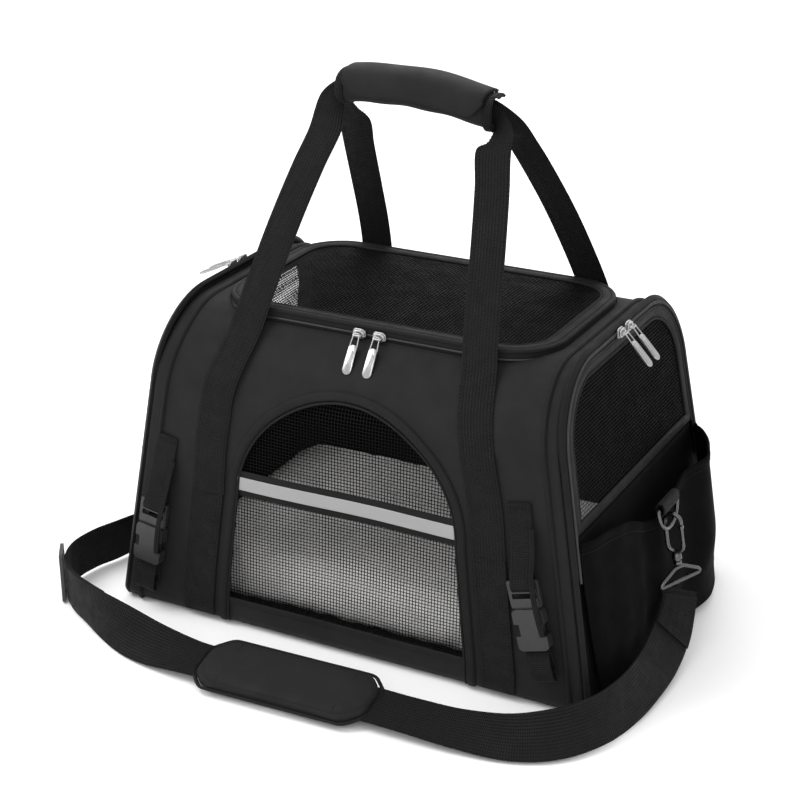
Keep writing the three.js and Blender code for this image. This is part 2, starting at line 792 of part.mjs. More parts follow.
// Route of the strap's middle line with the direction across it.
const strapRoute = [
  [[238, -6, 55], [-0.45, -0.89, 0]],
  [[239.5, -13, 44], [-0.5, -0.78, 0.35]],
  [[242, -28, 32], [-0.52, -0.74, 0.42]],
  [[244.5, -54, 23.5], [-0.5, -0.65, 0.57]],
  [[246, -92, 20.6], [-0.5, -0.2, 0.84]],
  [[244, -132, 20.6], [-0.45, 0.05, 0.9]],
  [[235, -166, 20.4], [-0.4, 0.2, 0.9]],
  [[215, -193, 18.6], [-0.3, 0.45, 0.84]],
  [[184, -207, 14], [-0.1, 0.78, 0.62]],
  [[140, -212, 11.5], [0, 0.94, 0.34]],
  [[96, -213, 11.6], [0, 0.974, 0.225]],
  [[50, -213.5, 12], [0, 0.974, 0.225]],
  [[0, -214.5, 12], [0, 0.974, 0.225]],
  [[-50, -216.5, 12], [0, 0.974, 0.225]],
  [[-100, -217.5, 11.6], [0, 0.974, 0.225]],
  [[-145, -215, 13], [0.05, 0.8, 0.6]],
  [[-184, -208, 18.4], [0.1, 0.4, 0.92]],
  [[-215, -197, 20.6], [0.05, 0.1, 0.99]],
  [[-243, -183, 20.6], [0, 0, 1]],
  [[-263, -164, 20.6], [0, 0, 1]],
  [[-273, -138, 20.6], [0, 0, 1]],
  [[-271, -112, 20.6], [0, 0, 1]],
  [[-262, -86, 20.8], [0, -0.05, 1]],
  [[-253, -58, 23], [0.1, -0.3, 0.9]],
  [[-245, -31, 31], [0.3, -0.75, 0.5]],
  [[-240, -14, 43], [0.45, -0.87, 0.15]],
  [[-238, -6, 55], [0.45, -0.89, 0]],
];
const strapStations = strapRoute.map(([centre, across]) => ({
  centre: new THREE.Vector3(...centre),
  across: new THREE.Vector3(...across).setLength(strapWidth / 2),
}));
add('shoulder_strap', ribbon(strapStations, 78, webbing), webbingBlack);

// The pad is a padded sleeve; the strap runs through its slot.
const padHalfLength = 78;
const padTilt = 0.227;
const padSection = ring(
  roundedRectangle(-29, 29, -5.6, 5.6, 5),
  roundedRectangle(-20.5, 20.5, -2.2, 2.2, 1),
);
const pad = plate(padSection, -padHalfLength, padHalfLength, 2, 4)
  .applyMatrix4(alongX)
  .rotateX(padTilt);
const padMiddle = -10;
add('shoulder_pad', moved(pad, (point) => {
  point.x += padMiddle;
  point.y += -214.9 + 0.03 * (point.x - padMiddle);
  point.z += 12.3;
}), fabricBlack);

// The tri-glide adjuster lies against the outside of the strap where it turns back.
const glideAt = new THREE.Vector3(-264.3, -164.9, 23.4);
const glideAlong = new THREE.Vector3(0.56, -0.83, 0).normalize();
const glideUp = new THREE.Vector3(0, 0, 1);
const glideOut = glideAlong.clone().cross(glideUp);
const glide = roundedRectangle(-13, 13, -23, 23, 3);
glide.holes.push(roundedRectangle(-9.6, -2.2, -19.6, 19.6, 1));
glide.holes.push(roundedRectangle(2.2, 9.6, -19.6, 19.6, 1));
add('tri_glide', plate(glide, 0, 3, 3), plasticBlack, frame(glideAt, glideAlong, glideUp, glideOut));

export default object;
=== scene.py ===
"""A soft-sided pet carrier bag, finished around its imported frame. Metres, +Z up, the front faces -Y."""
import math

import bpy
import numpy as np
from mathutils import Matrix, Vector


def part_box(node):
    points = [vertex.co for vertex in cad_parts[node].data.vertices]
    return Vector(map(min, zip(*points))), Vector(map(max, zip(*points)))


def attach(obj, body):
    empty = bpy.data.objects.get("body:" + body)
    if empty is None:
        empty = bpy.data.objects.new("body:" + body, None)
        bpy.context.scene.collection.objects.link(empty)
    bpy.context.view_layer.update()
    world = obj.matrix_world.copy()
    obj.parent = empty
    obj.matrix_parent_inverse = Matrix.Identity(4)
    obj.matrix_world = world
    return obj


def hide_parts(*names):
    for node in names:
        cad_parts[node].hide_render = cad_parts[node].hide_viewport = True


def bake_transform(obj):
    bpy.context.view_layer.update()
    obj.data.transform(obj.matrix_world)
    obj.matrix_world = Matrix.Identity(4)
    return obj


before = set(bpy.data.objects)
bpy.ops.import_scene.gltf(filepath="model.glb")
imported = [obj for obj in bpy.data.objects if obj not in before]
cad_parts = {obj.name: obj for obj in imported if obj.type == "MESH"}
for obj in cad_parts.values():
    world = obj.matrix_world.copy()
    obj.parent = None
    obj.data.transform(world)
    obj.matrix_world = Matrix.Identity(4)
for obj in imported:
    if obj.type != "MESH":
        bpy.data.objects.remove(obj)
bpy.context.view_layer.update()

# ------------------------------------------------------------ driving dimensions, from the frame
lid_low, lid_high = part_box("top_door_frame")
LID_HALF, LID_FRONT, LID_REAR, LID_TOP = lid_high.x, lid_low.y, lid_high.y, lid_high.z
LID_CORNER = 0.045
WALL_HALF = 0.143
WALL_LEAN = 0.069
BODY_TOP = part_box("left_top_panel")[1].z
SHOULDER_R = 0.068
FOOT_R = 0.012
FABRIC = 0.003
END_HALF = 0.215
END_LEAN = 0.164
RIM_HALF, RIM_TOP, RIM_R = 0.144, 0.274, 0.070
RIM_OUT = 0.0055
DOOR_FLOOR = 0.1445
POCKET_FLOOR, POCKET_TOP = 0.009, 0.140
WINDOW_FLOOR, WINDOW_SPRING, WINDOW_APEX = 0.025, 0.122, 0.218
WINDOW_FOOT, WINDOW_HALF = 0.112, 0.101
TAPE_MIDDLE = 0.133
STRAP_WIDTH = 0.038
HANDLE_WIDTH = 0.030
WEBBING = 0.0018
MESH_PITCH = 0.0028
PROBE = 0.001
SIDES = {"left": -1, "right": 1}

SHOULDER_Z = BODY_TOP - SHOULDER_R
SHOULDER_Y = WALL_HALF - WALL_LEAN * SHOULDER_Z - SHOULDER_R
FOOT_Y = WALL_HALF - WALL_LEAN * FOOT_R - FOOT_R
FOOT_ARC = FOOT_R * math.pi / 2
WALL_RUN = math.hypot(FOOT_Y + FOOT_R - SHOULDER_Y - SHOULDER_R, SHOULDER_Z - FOOT_R)
SHOULDER_ARC = SHOULDER_R * math.pi / 2
ARC_AT_SHOULDER = FOOT_ARC + WALL_RUN
ARC_AT_TOP = ARC_AT_SHOULDER + SHOULDER_ARC
LID_ANGLE = math.acos((-LID_FRONT - SHOULDER_Y) / SHOULDER_R)


# ------------------------------------------------------------ curves and frames
def unit(v):
    return v / np.maximum(np.linalg.norm(v, axis=-1, keepdims=True), 1e-12)


def ease(low, high, value):
    t = np.clip((value - low) / (high - low), 0, 1)
    return t * t * (3 - 2 * t)


def arc(centre, radii, start, stop, count=14):
    """Points on an ellipse between two angles in degrees."""
    angle = np.radians(np.linspace(start, stop, count))
    return np.stack([centre[0] + radii[0] * np.cos(angle), centre[1] + radii[1] * np.sin(angle)], 1)


def run_of(path):
    return np.concatenate([[0], np.cumsum(np.linalg.norm(np.diff(path, axis=0), axis=1))])


def resample(path, step, closed=False):
    path = np.asarray(path, float)
    if closed:
        path = np.vstack([path, path[:1]])
    run = run_of(path)
    at = np.linspace(0, run[-1], max(3, round(run[-1] / step) + 1))
    even = np.stack([np.interp(at, run, column) for column in path.T], 1)
    return even[:-1] if closed else even


def rounded(corners, radius, steps=6):
    """A closed polygon with its corners turned into curves."""
    corners = np.asarray(corners, float)
    before = unit(np.roll(corners, 1, 0) - corners)
    after = unit(np.roll(corners, -1, 0) - corners)
    t = np.linspace(0, 1, steps)[:, None]
    turns = [(1 - t) ** 2 * (c + b * radius) + 2 * t * (1 - t) * c + t * t * (c + a * radius)
             for c, b, a in zip(corners, before, after)]
    return np.vstack(turns)


def spline(points, per_span, power=0.5):
    """A Catmull-Rom curve through the points; power 0.5 spaces its knots centripetally."""
    p = np.asarray(points, float)
    p = np.vstack([2 * p[0] - p[1], p, 2 * p[-1] - p[-2]])
    parts = []
    for i in range(len(p) - 3):
        q = p[i:i + 4]
        k = np.concatenate([[0], np.cumsum(np.linalg.norm(np.diff(q, axis=0), axis=1) ** power)])
        t = np.linspace(k[1], k[2], per_span, endpoint=False)[:, None]
        a = [((k[j + 1] - t) * q[j] + (t - k[j]) * q[j + 1]) / (k[j + 1] - k[j]) for j in range(3)]
        b = [((k[j + 2] - t) * a[j] + (t - k[j]) * a[j + 1]) / (k[j + 2] - k[j]) for j in range(2)]
        parts.append(((k[2] - t) * b[0] + (t - k[1]) * b[1]) / (k[2] - k[1]))
    return np.vstack([*parts, p[-2:-1]])


def tangents(path, closed=False):
    if closed:
        return unit(np.roll(path, -1, 0) - np.roll(path, 1, 0))
    return unit(np.gradient(path, axis=0))


def lie(surface, path, out=0.0, closed=False):
    """Centres, sides and ups of a flat path laid on a surface(s, t, out)."""
    s, t = np.asarray(path, float).T
    centres = surface(s, t, out)
    ups = unit(surface(s, t, out + PROBE) - centres)
    along = tangents(centres, closed)
    sides = unit(np.cross(along, ups))
    return centres, sides, unit(np.cross(sides, along))


def carried(path, up, closed=False):
    """Centres, sides and ups of a path in space whose up direction stays near the given one."""
    path = np.asarray(path, float)
    along = tangents(path, closed)
    sides = unit(np.cross(along, np.broadcast_to(np.asarray(up, float), path.shape)))
    return path, sides, unit(np.cross(sides, along))


def wire_section(radius, count=8):
    return arc((0, 0), (radius, radius), 0, 360, count + 1)[:-1]


def band_section(width, thickness, edge=0.3, crown=0.0):
    """A flat strap's section: eased edges, and a crown that lifts its middle."""
    w, t, e = width / 2, thickness / 2, thickness * edge
    lower = [(-w, 0), (-w + e, -t), (w - e, -t), (w, 0)]
    upper = [(x, t + crown * (1 - (x / w) ** 2)) for x in np.linspace(w - e, e - w, 7)]
    return np.array(lower + upper)


class Form:
    """Points, faces and texture coordinates, all in metres, gathered into one mesh."""

    def __init__(self):
        self.points = []
        self.faces = []
        self.coords = []
        self.count = 0

    def grid(self, points, u, v, loop=False, tube=False, keep=None):
        rows, columns = points.shape[:2]
        ids = self.count + np.arange(rows * columns).reshape(rows, columns)
        self.points.append(points.reshape(-1, 3))
        self.count += rows * columns
        closed = np.vstack([ids, ids[:1]]) if loop else ids
        closed = np.hstack([closed, closed[:, :1]]) if tube else closed
        uv = np.stack(np.meshgrid(u, v, indexing="ij") if np.ndim(u) == 1 else (u, v), -1)
        corners = lambda m: [m[:-1, :-1], m[1:, :-1], m[1:, 1:], m[:-1, 1:]]
        quads = np.stack(corners(closed), -1).reshape(-1, 4)
        coords = np.stack(corners(uv), -2).reshape(-1, 4, 2)
        if keep is not None:
            quads, coords = quads[keep.ravel()], coords[keep.ravel()]
        self.faces.extend(quads.tolist())
        self.coords.append(coords.reshape(-1, 2))
        return ids

    def cap(self, ids, coords):
        self.faces.append(list(map(int, ids)))
        self.coords.append(np.asarray(coords, float))

    def sweep(self, path, section, loop=False, scale=None):
        centres, sides, ups = path
        section = np.broadcast_to(section, (len(centres), *np.shape(section)[-2:]))
        if scale is not None:
            section = section * np.reshape(scale, (-1, 1, 1))
        points = centres[:, None] + sides[:, None] * section[..., :1] + ups[:, None] * section[..., 1:]
        u = run_of(np.vstack([centres, centres[:1]]) if loop else centres)
        v = run_of(np.vstack([section[0], section[0][:1]]))
        ids = self.grid(points, u, v, loop=loop, tube=True)
        if not loop:
            self.cap(ids[0], section[0])
            self.cap(ids[-1][::-1], section[-1][::-1])
        return self

    def slab(self, outline, low, high, bevel, place):
        """A plate with chamfered edges from a flat convex outline; place maps (x, y, z) rows to space."""
        outline = np.asarray(outline, float)
        centre = outline.mean(0)
        reach = np.linalg.norm(outline - centre, axis=1, keepdims=True)
        inner = centre + (outline - centre) * (1 - bevel / reach)
        rings = [(inner, low), (outline, low + bevel), (outline, high - bevel), (inner, high)]
        points = place(np.stack([np.column_stack([ring, np.full(len(ring), z)]) for ring, z in rings]))
        around = run_of(np.vstack([outline, outline[:1]]))
        ids = self.grid(points, [0, bevel, high - low, high - low + bevel], around, tube=True)
        self.cap(ids[0], inner)
        self.cap(ids[-1][::-1], inner[::-1])
        return self

    def stitches(self, path, pitch=0.0030, length=0.0022, width=0.0006, lift=0.0003):
        """A row of thread stitches along a path."""
        centres, sides, ups = path
        run = run_of(centres)
        at = np.arange(pitch / 2, run[-1], pitch)
        pick = lambda rows: np.stack([np.interp(at, run, column) for column in rows.T], 1)
        c, s, n = pick(centres), pick(sides), pick(ups)
        along = unit(np.cross(n, s))
        shape = [(-1, 0, -0.6), (-0.55, 0.7, 0.4), (-0.55, -0.7, 0.4), (0.55, 0.7, 0.4), (0.55, -0.7, 0.4),
                 (1, 0, -0.6), (0, 1, -0.5), (0, -1, -0.5)]
        corner = np.stack([c + along * (a * length / 2) + s * (b * width / 2) + n * (h * lift)
                           for a, b, h in shape], 1)
        quads = [(0, 2, 1, 1), (1, 2, 4, 3), (3, 4, 5, 5), (0, 1, 3, 6),
                 (3, 5, 6, 6), (0, 7, 4, 2), (7, 5, 4, 4), (0, 6, 5, 7)]
        base = self.count + 8 * np.arange(len(c))[:, None]
        for quad in quads:
            corners = list(dict.fromkeys(quad))
            self.faces.extend((base + corners).tolist())
            self.coords.append(np.zeros((len(c) * len(corners), 2)))
        self.points.append(corner.reshape(-1, 3))
        self.count += corner.shape[0] * 8
        return self

    def build(self, name, material, sharp=38):
        mesh = bpy.data.meshes.new(name)
        mesh.from_pydata(np.vstack(self.points).tolist(), [], self.faces)
        mesh.uv_layers.new(name="UVMap").data.foreach_set("uv", np.vstack(self.coords).astype(np.float32).ravel())
        mesh.materials.append(material)
        mesh.shade_smooth()
        mesh.set_sharp_from_angle(angle=math.radians(sharp))
        mesh.validate()
        made = bpy.data.objects.new(name, mesh)
        bpy.context.scene.collection.objects.link(made)
        return made


def settle(piece, body, nodes=()):
    """A finished piece rides on its body and stands for its CAD nodes."""
    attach(piece, body)
    if nodes:
        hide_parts(*nodes)
    return piece


def thicken(piece, depth, offset=-1.0):
    change = piece.modifiers.new("thickness", "SOLIDIFY")
    change.thickness = depth
    change.offset = offset
    return piece


# ------------------------------------------------------------ camera
def add_camera():
    at = Vector((0.6836, -1.3160, 0.8135))
    target = Vector((-0.01606, -0.00982, 0.17458))
    roll = -0.010
    forward = (target - at).normalized()
    level = forward.cross(Vector((0, 0, 1))).normalized()
    above = level.cross(forward)
    right = level * math.cos(roll) + above * math.sin(roll)
    up = above * math.cos(roll) - level * math.sin(roll)
    camera = bpy.data.objects.new("camera", bpy.data.cameras.new("camera"))
    camera.data.lens = 85.9
    camera.data.sensor_width = 36
    turn = Matrix((right, up, -forward)).transposed().to_4x4()
    camera.matrix_world = Matrix.Translation(at) @ turn
    bpy.context.scene.collection.objects.link(camera)
    bpy.context.scene.camera = camera


add_camera()


# ------------------------------------------------------------ materials
def shade(value):
    """Linear grey for an 8-bit display value."""
    s = value / 255
    return ((s + 0.055) / 1.055) ** 2.4 if s > 0.04 else s / 12.92


class Finish:
    """A material built from nodes around one principled shader."""

    def __init__(self, name, colour, roughness, metallic=0.0, specular=0.5, sheen=0.0, sheen_rough=0.5):
        self.material = bpy.data.materials.new(name)
        self.material.use_nodes = True
        self.tree = self.material.node_tree
        self.shader = self.tree.nodes["Principled BSDF"]
        self.colour = colour
        for key, value in {"Metallic": metallic, "Specular IOR Level": specular, "Sheen Weight": sheen,
                           "Sheen Roughness": sheen_rough, "Roughness": roughness}.items():
            self.shader.inputs[key].default_value = value
        self.shader.inputs["Base Color"].default_value = (*colour, 1)

    def node(self, kind, inputs=(), **settings):
        made = self.tree.nodes.new(kind)
        for key, value in settings.items():
            setattr(made, key, value)
        for key, value in dict(inputs).items():
            if isinstance(value, bpy.types.NodeSocket):
                self.tree.links.new(value, made.inputs[key])
            else:
                made.inputs[key].default_value = value
        return made

    def maths(self, operation, first, second=0.0):
        return self.node("ShaderNodeMath", {0: first, 1: second}, operation=operation).outputs[0]

    def noise(self, scale, detail=3.0, rough=0.55):
        place = self.node("ShaderNodeTexCoord").outputs["Object"]
        return self.node("ShaderNodeTexNoise", {"Vector": place, "Scale": scale, "Detail": detail,
                                                "Roughness": rough}).outputs["Fac"]

    def wave(self, axis, pitch):
        """A sine along one texture axis, from -1 to 1."""
        place = self.node("ShaderNodeUVMap", uv_map="UVMap").outputs["UV"]
        value = self.node("ShaderNodeSeparateXYZ", {0: place}).outputs[axis]
        return self.maths("SINE", self.maths("MULTIPLY", value, 2 * math.pi / pitch))

    def mottle(self, scale, spread, second_scale=None):
        """Uneven colour: the base colour times 1 - spread to 1 + spread."""
        field = self.noise(scale)
        if second_scale:
            field = self.maths("MULTIPLY", self.maths("ADD", field, self.noise(second_scale)), 0.5)
        ramp = self.node("ShaderNodeValToRGB", {0: field})
        for stop, at, gain in zip(ramp.color_ramp.elements, (0.3, 0.7), (1 - spread, 1 + spread)):
            stop.position = at
            stop.color = (*[c * gain for c in self.colour], 1)
        self.tree.links.new(ramp.outputs["Color"], self.shader.inputs["Base Color"])
        return self

    def uneven_gloss(self, scale, low, high):
        spread = self.node("ShaderNodeMapRange", {0: self.noise(scale), 1: 0.3, 2: 0.7, 3: low, 4: high})
        self.tree.links.new(spread.outputs[0], self.shader.inputs["Roughness"])
        return self

    def bump(self, height, distance, strength=1.0):
        made = self.node("ShaderNodeBump", {"Height": height, "Distance": distance, "Strength": strength})
        earlier = self.shader.inputs["Normal"]
        if earlier.is_linked:
            self.tree.links.new(earlier.links[0].from_socket, made.inputs["Normal"])
        self.tree.links.new(made.outputs["Normal"], earlier)
        return self


def grey(value, warm=0.0):
    base = shade(value)
    return (base * (1 + warm), base, base * (1 - warm))


def woven_cloth(name, value, pitch, roughness=0.72, sheen=0.12, depth=0.00012, mottle=0.10, specular=0.32):
    made = Finish(name, grey(value, -0.02), roughness, sheen=sheen, specular=specular)
    made.mottle(18, mottle, 900)
    made.uneven_gloss(60, roughness - 0.08, roughness + 0.08)
    made.bump(made.maths("MULTIPLY", made.wave(0, pitch), made.wave(1, pitch)), depth, 0.7)
    made.bump(made.noise(260, 4), 0.0004, 0.35)
    return made.material


def ribbed_webbing(name, value, rib, lane):
    made = Finish(name, grey(value, -0.01), 0.66, sheen=0.01, specular=0.12)
    made.mottle(25, 0.14, 1100)
    made.uneven_gloss(90, 0.56, 0.78)
    made.bump(made.wave(0, rib), 0.00036, 1.0)
    made.bump(made.maths("MULTIPLY", made.wave(1, lane), made.wave(0, rib)), 0.0002, 0.9)
    return made.material


def long_pile(name):
    made = Finish(name, (0.86, 0.85, 0.83), 0.95, sheen=0.4, specular=0.1)
    made.mottle(40, 0.10, 300)
    made.bump(made.noise(420, 6, 0.7), 0.003, 0.6)
    return made.material


def reflective(name):
    made = Finish(name, grey(150, 0.0), 0.42, metallic=0.1, specular=0.4)
    made.mottle(35, 0.05, 700)
    made.uneven_gloss(140, 0.34, 0.5)
    made.bump(made.maths("MULTIPLY", made.wave(0, 0.0011), made.wave(1, 0.0011)), 0.00006, 0.6)
    return made.material


def moulded(name, value, roughness=0.38):
    made = Finish(name, grey(value), roughness, specular=0.5)
    made.mottle(60, 0.07)
    made.uneven_gloss(150, roughness - 0.08, roughness + 0.1)
    made.bump(made.noise(1500, 2), 0.00008, 0.4)
    return made.material


def plated(name, value, roughness):
    made = Finish(name, grey(value), roughness, metallic=1.0)
    made.mottle(120, 0.06, 500)
    made.uneven_gloss(220, roughness - 0.07, roughness + 0.10)
    made.bump(made.noise(700, 2), 0.00004, 0.25)
    return made.material


FABRIC_BLACK = woven_cloth("fabric_black", 27, 0.0011, sheen=0.02, specular=0.15)
# Pocket cloth: the body's weave made about three times darker and duller; this darkness is painted shade of the dimly
# lit end the pocket hangs on.
POCKET_BLACK_PAINTED_SHADE = woven_cloth("pocket_black_painted_shade", 9, 0.0011, sheen=0.0, specular=0.03)
LINING_BLACK = woven_cloth("lining_black", 12, 0.0014, sheen=0.0, specular=0.06)
BINDING_BLACK = woven_cloth("binding_black", 22, 0.0016, roughness=0.62, depth=0.0002, sheen=0.01, specular=0.14)
WEBBING_BLACK = ribbed_webbing("webbing_black", 21, 0.0018, 0.0026)
YARN_BLACK = woven_cloth("yarn_black", 9, 0.0012, roughness=0.6, sheen=0.0, specular=0.08)
THREAD_BLACK = woven_cloth("thread_black", 26, 0.0008, roughness=0.6, sheen=0.0, specular=0.14)
TAPE_SILVER = reflective("tape_silver")
FLEECE_WHITE = long_pile("fleece_white")
BOARD_GREY = moulded("board_grey", 44, 0.6)
BUCKLE_BLACK = moulded("buckle_black", 36)
COIL_BLACK = moulded("coil_black", 24, 0.55)
ZIP_SILVER = plated("zip_silver", 168, 0.32)
HOOK_BLACK = plated("hook_black", 92, 0.26)

# ------------------------------------------------------------ shoulder strap: the bag's one free cord
STRAP_ROUTE = [
    ((0.238, -0.006, 0.055), (-0.45, -0.89, 0)),
    ((0.2395, -0.013, 0.044), (-0.5, -0.78, 0.35)),
    ((0.242, -0.028, 0.032), (-0.52, -0.74, 0.42)),
    ((0.2445, -0.054, 0.0235), (-0.5, -0.65, 0.57)),
    ((0.246, -0.092, 0.0206), (-0.5, -0.2, 0.84)),
    ((0.244, -0.132, 0.0206), (-0.45, 0.05, 0.9)),
    ((0.235, -0.166, 0.0204), (-0.4, 0.2, 0.9)),
    ((0.215, -0.193, 0.0186), (-0.3, 0.45, 0.84)),
    ((0.184, -0.207, 0.014), (-0.1, 0.78, 0.62)),
    ((0.14, -0.212, 0.0115), (0, 0.94, 0.34)),
    ((0.096, -0.213, 0.0116), (0, 0.974, 0.225)),
    ((0.05, -0.2135, 0.012), (0, 0.974, 0.225)),
    ((0.0, -0.2145, 0.012), (0, 0.974, 0.225)),
    ((-0.05, -0.2165, 0.012), (0, 0.974, 0.225)),
    ((-0.1, -0.2175, 0.0116), (0, 0.974, 0.225)),
    ((-0.145, -0.215, 0.013), (0.05, 0.8, 0.6)),
    ((-0.184, -0.208, 0.0184), (0.1, 0.4, 0.92)),
    ((-0.215, -0.197, 0.0206), (0.05, 0.1, 0.99)),
    ((-0.243, -0.183, 0.0206), (0, 0, 1)),
    ((-0.263, -0.164, 0.0206), (0, 0, 1)),
    ((-0.273, -0.138, 0.0206), (0, 0, 1)),
    ((-0.271, -0.112, 0.0206), (0, 0, 1)),
    ((-0.262, -0.086, 0.0208), (0, -0.05, 1)),
    ((-0.253, -0.058, 0.023), (0.1, -0.3, 0.9)),
    ((-0.245, -0.031, 0.031), (0.3, -0.75, 0.5)),
    ((-0.24, -0.014, 0.043), (0.45, -0.87, 0.15)),
    ((-0.238, -0.006, 0.055), (0.45, -0.89, 0)),
]


def strap_path(per_span=14):
    """Centres, sides and ups of the shoulder strap's webbing."""
    centres = spline([c for c, _ in STRAP_ROUTE], per_span)
    across = unit(spline([unit(np.array(a, float)) for _, a in STRAP_ROUTE], per_span, 0))
    along = tangents(centres)
    ups = unit(np.cross(across, along))
    return centres, unit(np.cross(along, ups)), ups


def part_of(path, start, stop, lift=0.0, shift=0.0):
    """A stretch of a path between two run lengths, lifted off its face and moved across."""
    centres, sides, ups = path
    run = run_of(centres)
    chosen = (run >= start) & (run <= stop)
    moved = centres[chosen] + ups[chosen] * lift + sides[chosen] * shift
    return moved, sides[chosen], ups[chosen]


def add_shoulder_strap():
    path = strap_path()
    length = float(run_of(path[0])[-1])
    strap = Form().sweep(path, band_section(STRAP_WIDTH, WEBBING, 0.4)).build("shoulder_strap_webbing", WEBBING_BLACK)
    settle(strap, "root", ["shoulder_strap"])
    seams = Form()
    fold = Form()
    for start, stop, lift in ((0.004, 0.042, 0.0021), (length - 0.042, length - 0.004, 0.0021)):
        fold.sweep(part_of(path, start, stop, lift), band_section(STRAP_WIDTH - 0.001, WEBBING, 0.4))
        for shift in (-0.016, -0.008, 0.0, 0.008, 0.016):
            seams.stitches(part_of(path, start + 0.003, stop - 0.002, lift + 0.0011, shift))
    fold.sweep(part_of(path, length - 0.250, length - 0.165, -0.0021), band_section(STRAP_WIDTH - 0.001, WEBBING, 0.4))
    folds = settle(fold.build("shoulder_strap_folds", WEBBING_BLACK), "root")
    thread = settle(seams.build("shoulder_strap_stitching", THREAD_BLACK), "root")
    return strap, path, length, [folds, thread]


strap, strap_line, strap_length, strap_trim = add_shoulder_strap()


# ------------------------------------------------------------ the body's surfaces
def section(run, out):
    """Distance from the middle plane and height of the padded wall, at an arc length from the edge of the base."""
    foot = np.clip(run, 0, FOOT_ARC) / FOOT_R - math.pi / 2
    share = np.clip((run - FOOT_ARC) / WALL_RUN, 0, 1)
    turn = np.clip(run - ARC_AT_SHOULDER, 0, SHOULDER_ARC) / SHOULDER_R
    wall_y = (FOOT_Y + FOOT_R) * (1 - share) + (SHOULDER_Y + SHOULDER_R) * share + out
    wall_z = FOOT_R * (1 - share) + SHOULDER_Z * share
    stretches = [run < 0, run < FOOT_ARC, run < ARC_AT_SHOULDER, run < ARC_AT_TOP]
    y = np.select(stretches, [FOOT_Y + run, FOOT_Y + (FOOT_R + out) * np.cos(foot), wall_y,
                              SHOULDER_Y + (SHOULDER_R + out) * np.cos(turn)], SHOULDER_Y - (run - ARC_AT_TOP))
    z = np.select(stretches, [-out, FOOT_R + (FOOT_R + out) * np.sin(foot), wall_z,
                              SHOULDER_Z + (SHOULDER_R + out) * np.sin(turn)], BODY_TOP + out)
    return y, z


def relax(x, y, z):
    """Pulls the shoulders flatter between the end hoops, down to the edge of the top door."""
    turn = np.arctan2(z - SHOULDER_Z, y - SHOULDER_Y)
    inside = (y > SHOULDER_Y) & (z > SHOULDER_Z) & (turn < LID_ANGLE)
    t = np.clip(turn / LID_ANGLE, 0, 1)
    top_z = SHOULDER_Z + SHOULDER_R * math.sin(LID_ANGLE)
    flat_y = (1 - t) ** 2 * (SHOULDER_Y + SHOULDER_R) + 2 * t * (1 - t) * 0.127 - t * t * LID_FRONT
    flat_z = (1 - t) ** 2 * SHOULDER_Z + 2 * t * (1 - t) * 0.224 + t * t * top_z
    slack = inside * (1 - ease(0.09, 0.19, np.abs(x)))
    return (y + slack * (flat_y - SHOULDER_Y - SHOULDER_R * np.cos(turn)),
            z + slack * (flat_z - SHOULDER_Z - SHOULDER_R * np.sin(turn)))


def half_length(z):
    return END_HALF - END_LEAN * z


def puff(face, x, run, z):
    """How far the padding stands proud, fading out towards the seams and the base."""
    inner = ease(0.0, 0.045, half_length(z) - np.abs(x)) * ease(0.015, 0.06, run) * ease(0.30, 0.24, run)
    waves = 0.0012 * np.sin(19 * x + 2 * face) * np.sin(23 * run + face) + 0.0007 * np.sin(41 * x - 17 * run)
    return inner * (0.0012 + waves)


def shell(face):
    """Surface of the wall on the front (-1) or rear (1): x along the bag, run up the section, out from the cloth."""
    def surface(x, run, out=0.0):
        x, run = np.broadcast_arrays(np.asarray(x, float), np.asarray(run, float))
        bare_z = section(run, 0.0)[1]
        y, z = section(run, out + puff(face, x, run, bare_z))
        y, z = relax(x, y, z)
        return np.stack([x, face * y, z], -1)
    return surface


RUN_TABLE = np.linspace(0.004, ARC_AT_TOP, 400)
HEIGHT_TABLE = relax(np.zeros(400), *section(RUN_TABLE, 0.0))[1]


def on_wall(face):
    """The same surface by height instead of arc length."""
    def surface(x, height, out=0.0):
        return shell(face)(x, np.interp(height, HEIGHT_TABLE, RUN_TABLE), out)
    return surface


def on_end(side):
    def surface(y, z, out=0.0):
        y, z = np.broadcast_arrays(np.asarray(y, float), np.asarray(z, float))
        return np.stack([side * (half_length(z) + out), y, z], -1)
    return surface


def lid_crown(x, y):
    """The open mesh of the top door rises a little in its middle."""
    middle = (LID_FRONT + LID_REAR) / 2
    across = np.clip(1 - ((y - middle) / 0.078) ** 2, 0, 1)
    return 0.0025 * np.clip(1 - (x / 0.138) ** 2, 0, 1) * across


def on_lid(x, y, out=0.0):
    x, y = np.broadcast_arrays(np.asarray(x, float), np.asarray(y, float))
    return np.stack([x, y, LID_TOP + lid_crown(x, y) + out], -1)


def window_outline(grow=0.0, count=40):
    arch = arc((0, WINDOW_SPRING), (WINDOW_HALF + grow, WINDOW_APEX - WINDOW_SPRING + grow), 0, 180, count)
    foot = WINDOW_FOOT + grow
    return np.vstack([[(-foot, WINDOW_FLOOR - grow), (foot, WINDOW_FLOOR - grow)], arch])


def lid_outline(grow=0.0, count=10):
    r = LID_CORNER + grow
    corners = [(LID_HALF + grow - r, LID_FRONT - grow + r, -90), (LID_HALF + grow - r, LID_REAR + grow - r, 0),
               (-LID_HALF - grow + r, LID_REAR + grow - r, 90), (-LID_HALF - grow + r, LID_FRONT - grow + r, 180)]
    return np.vstack([arc((x, y), (r, r), a, a + 90, count) for x, y, a in corners])


RIM_ARC_Z = RIM_TOP - RIM_R
RIM_ARC_Y = RIM_HALF - WALL_LEAN * RIM_ARC_Z - RIM_R
RIM_FOOT_Y = RIM_HALF - WALL_LEAN * FOOT_R - FOOT_R


def end_edge(z, inset):
    return RIM_HALF - WALL_LEAN * z - inset


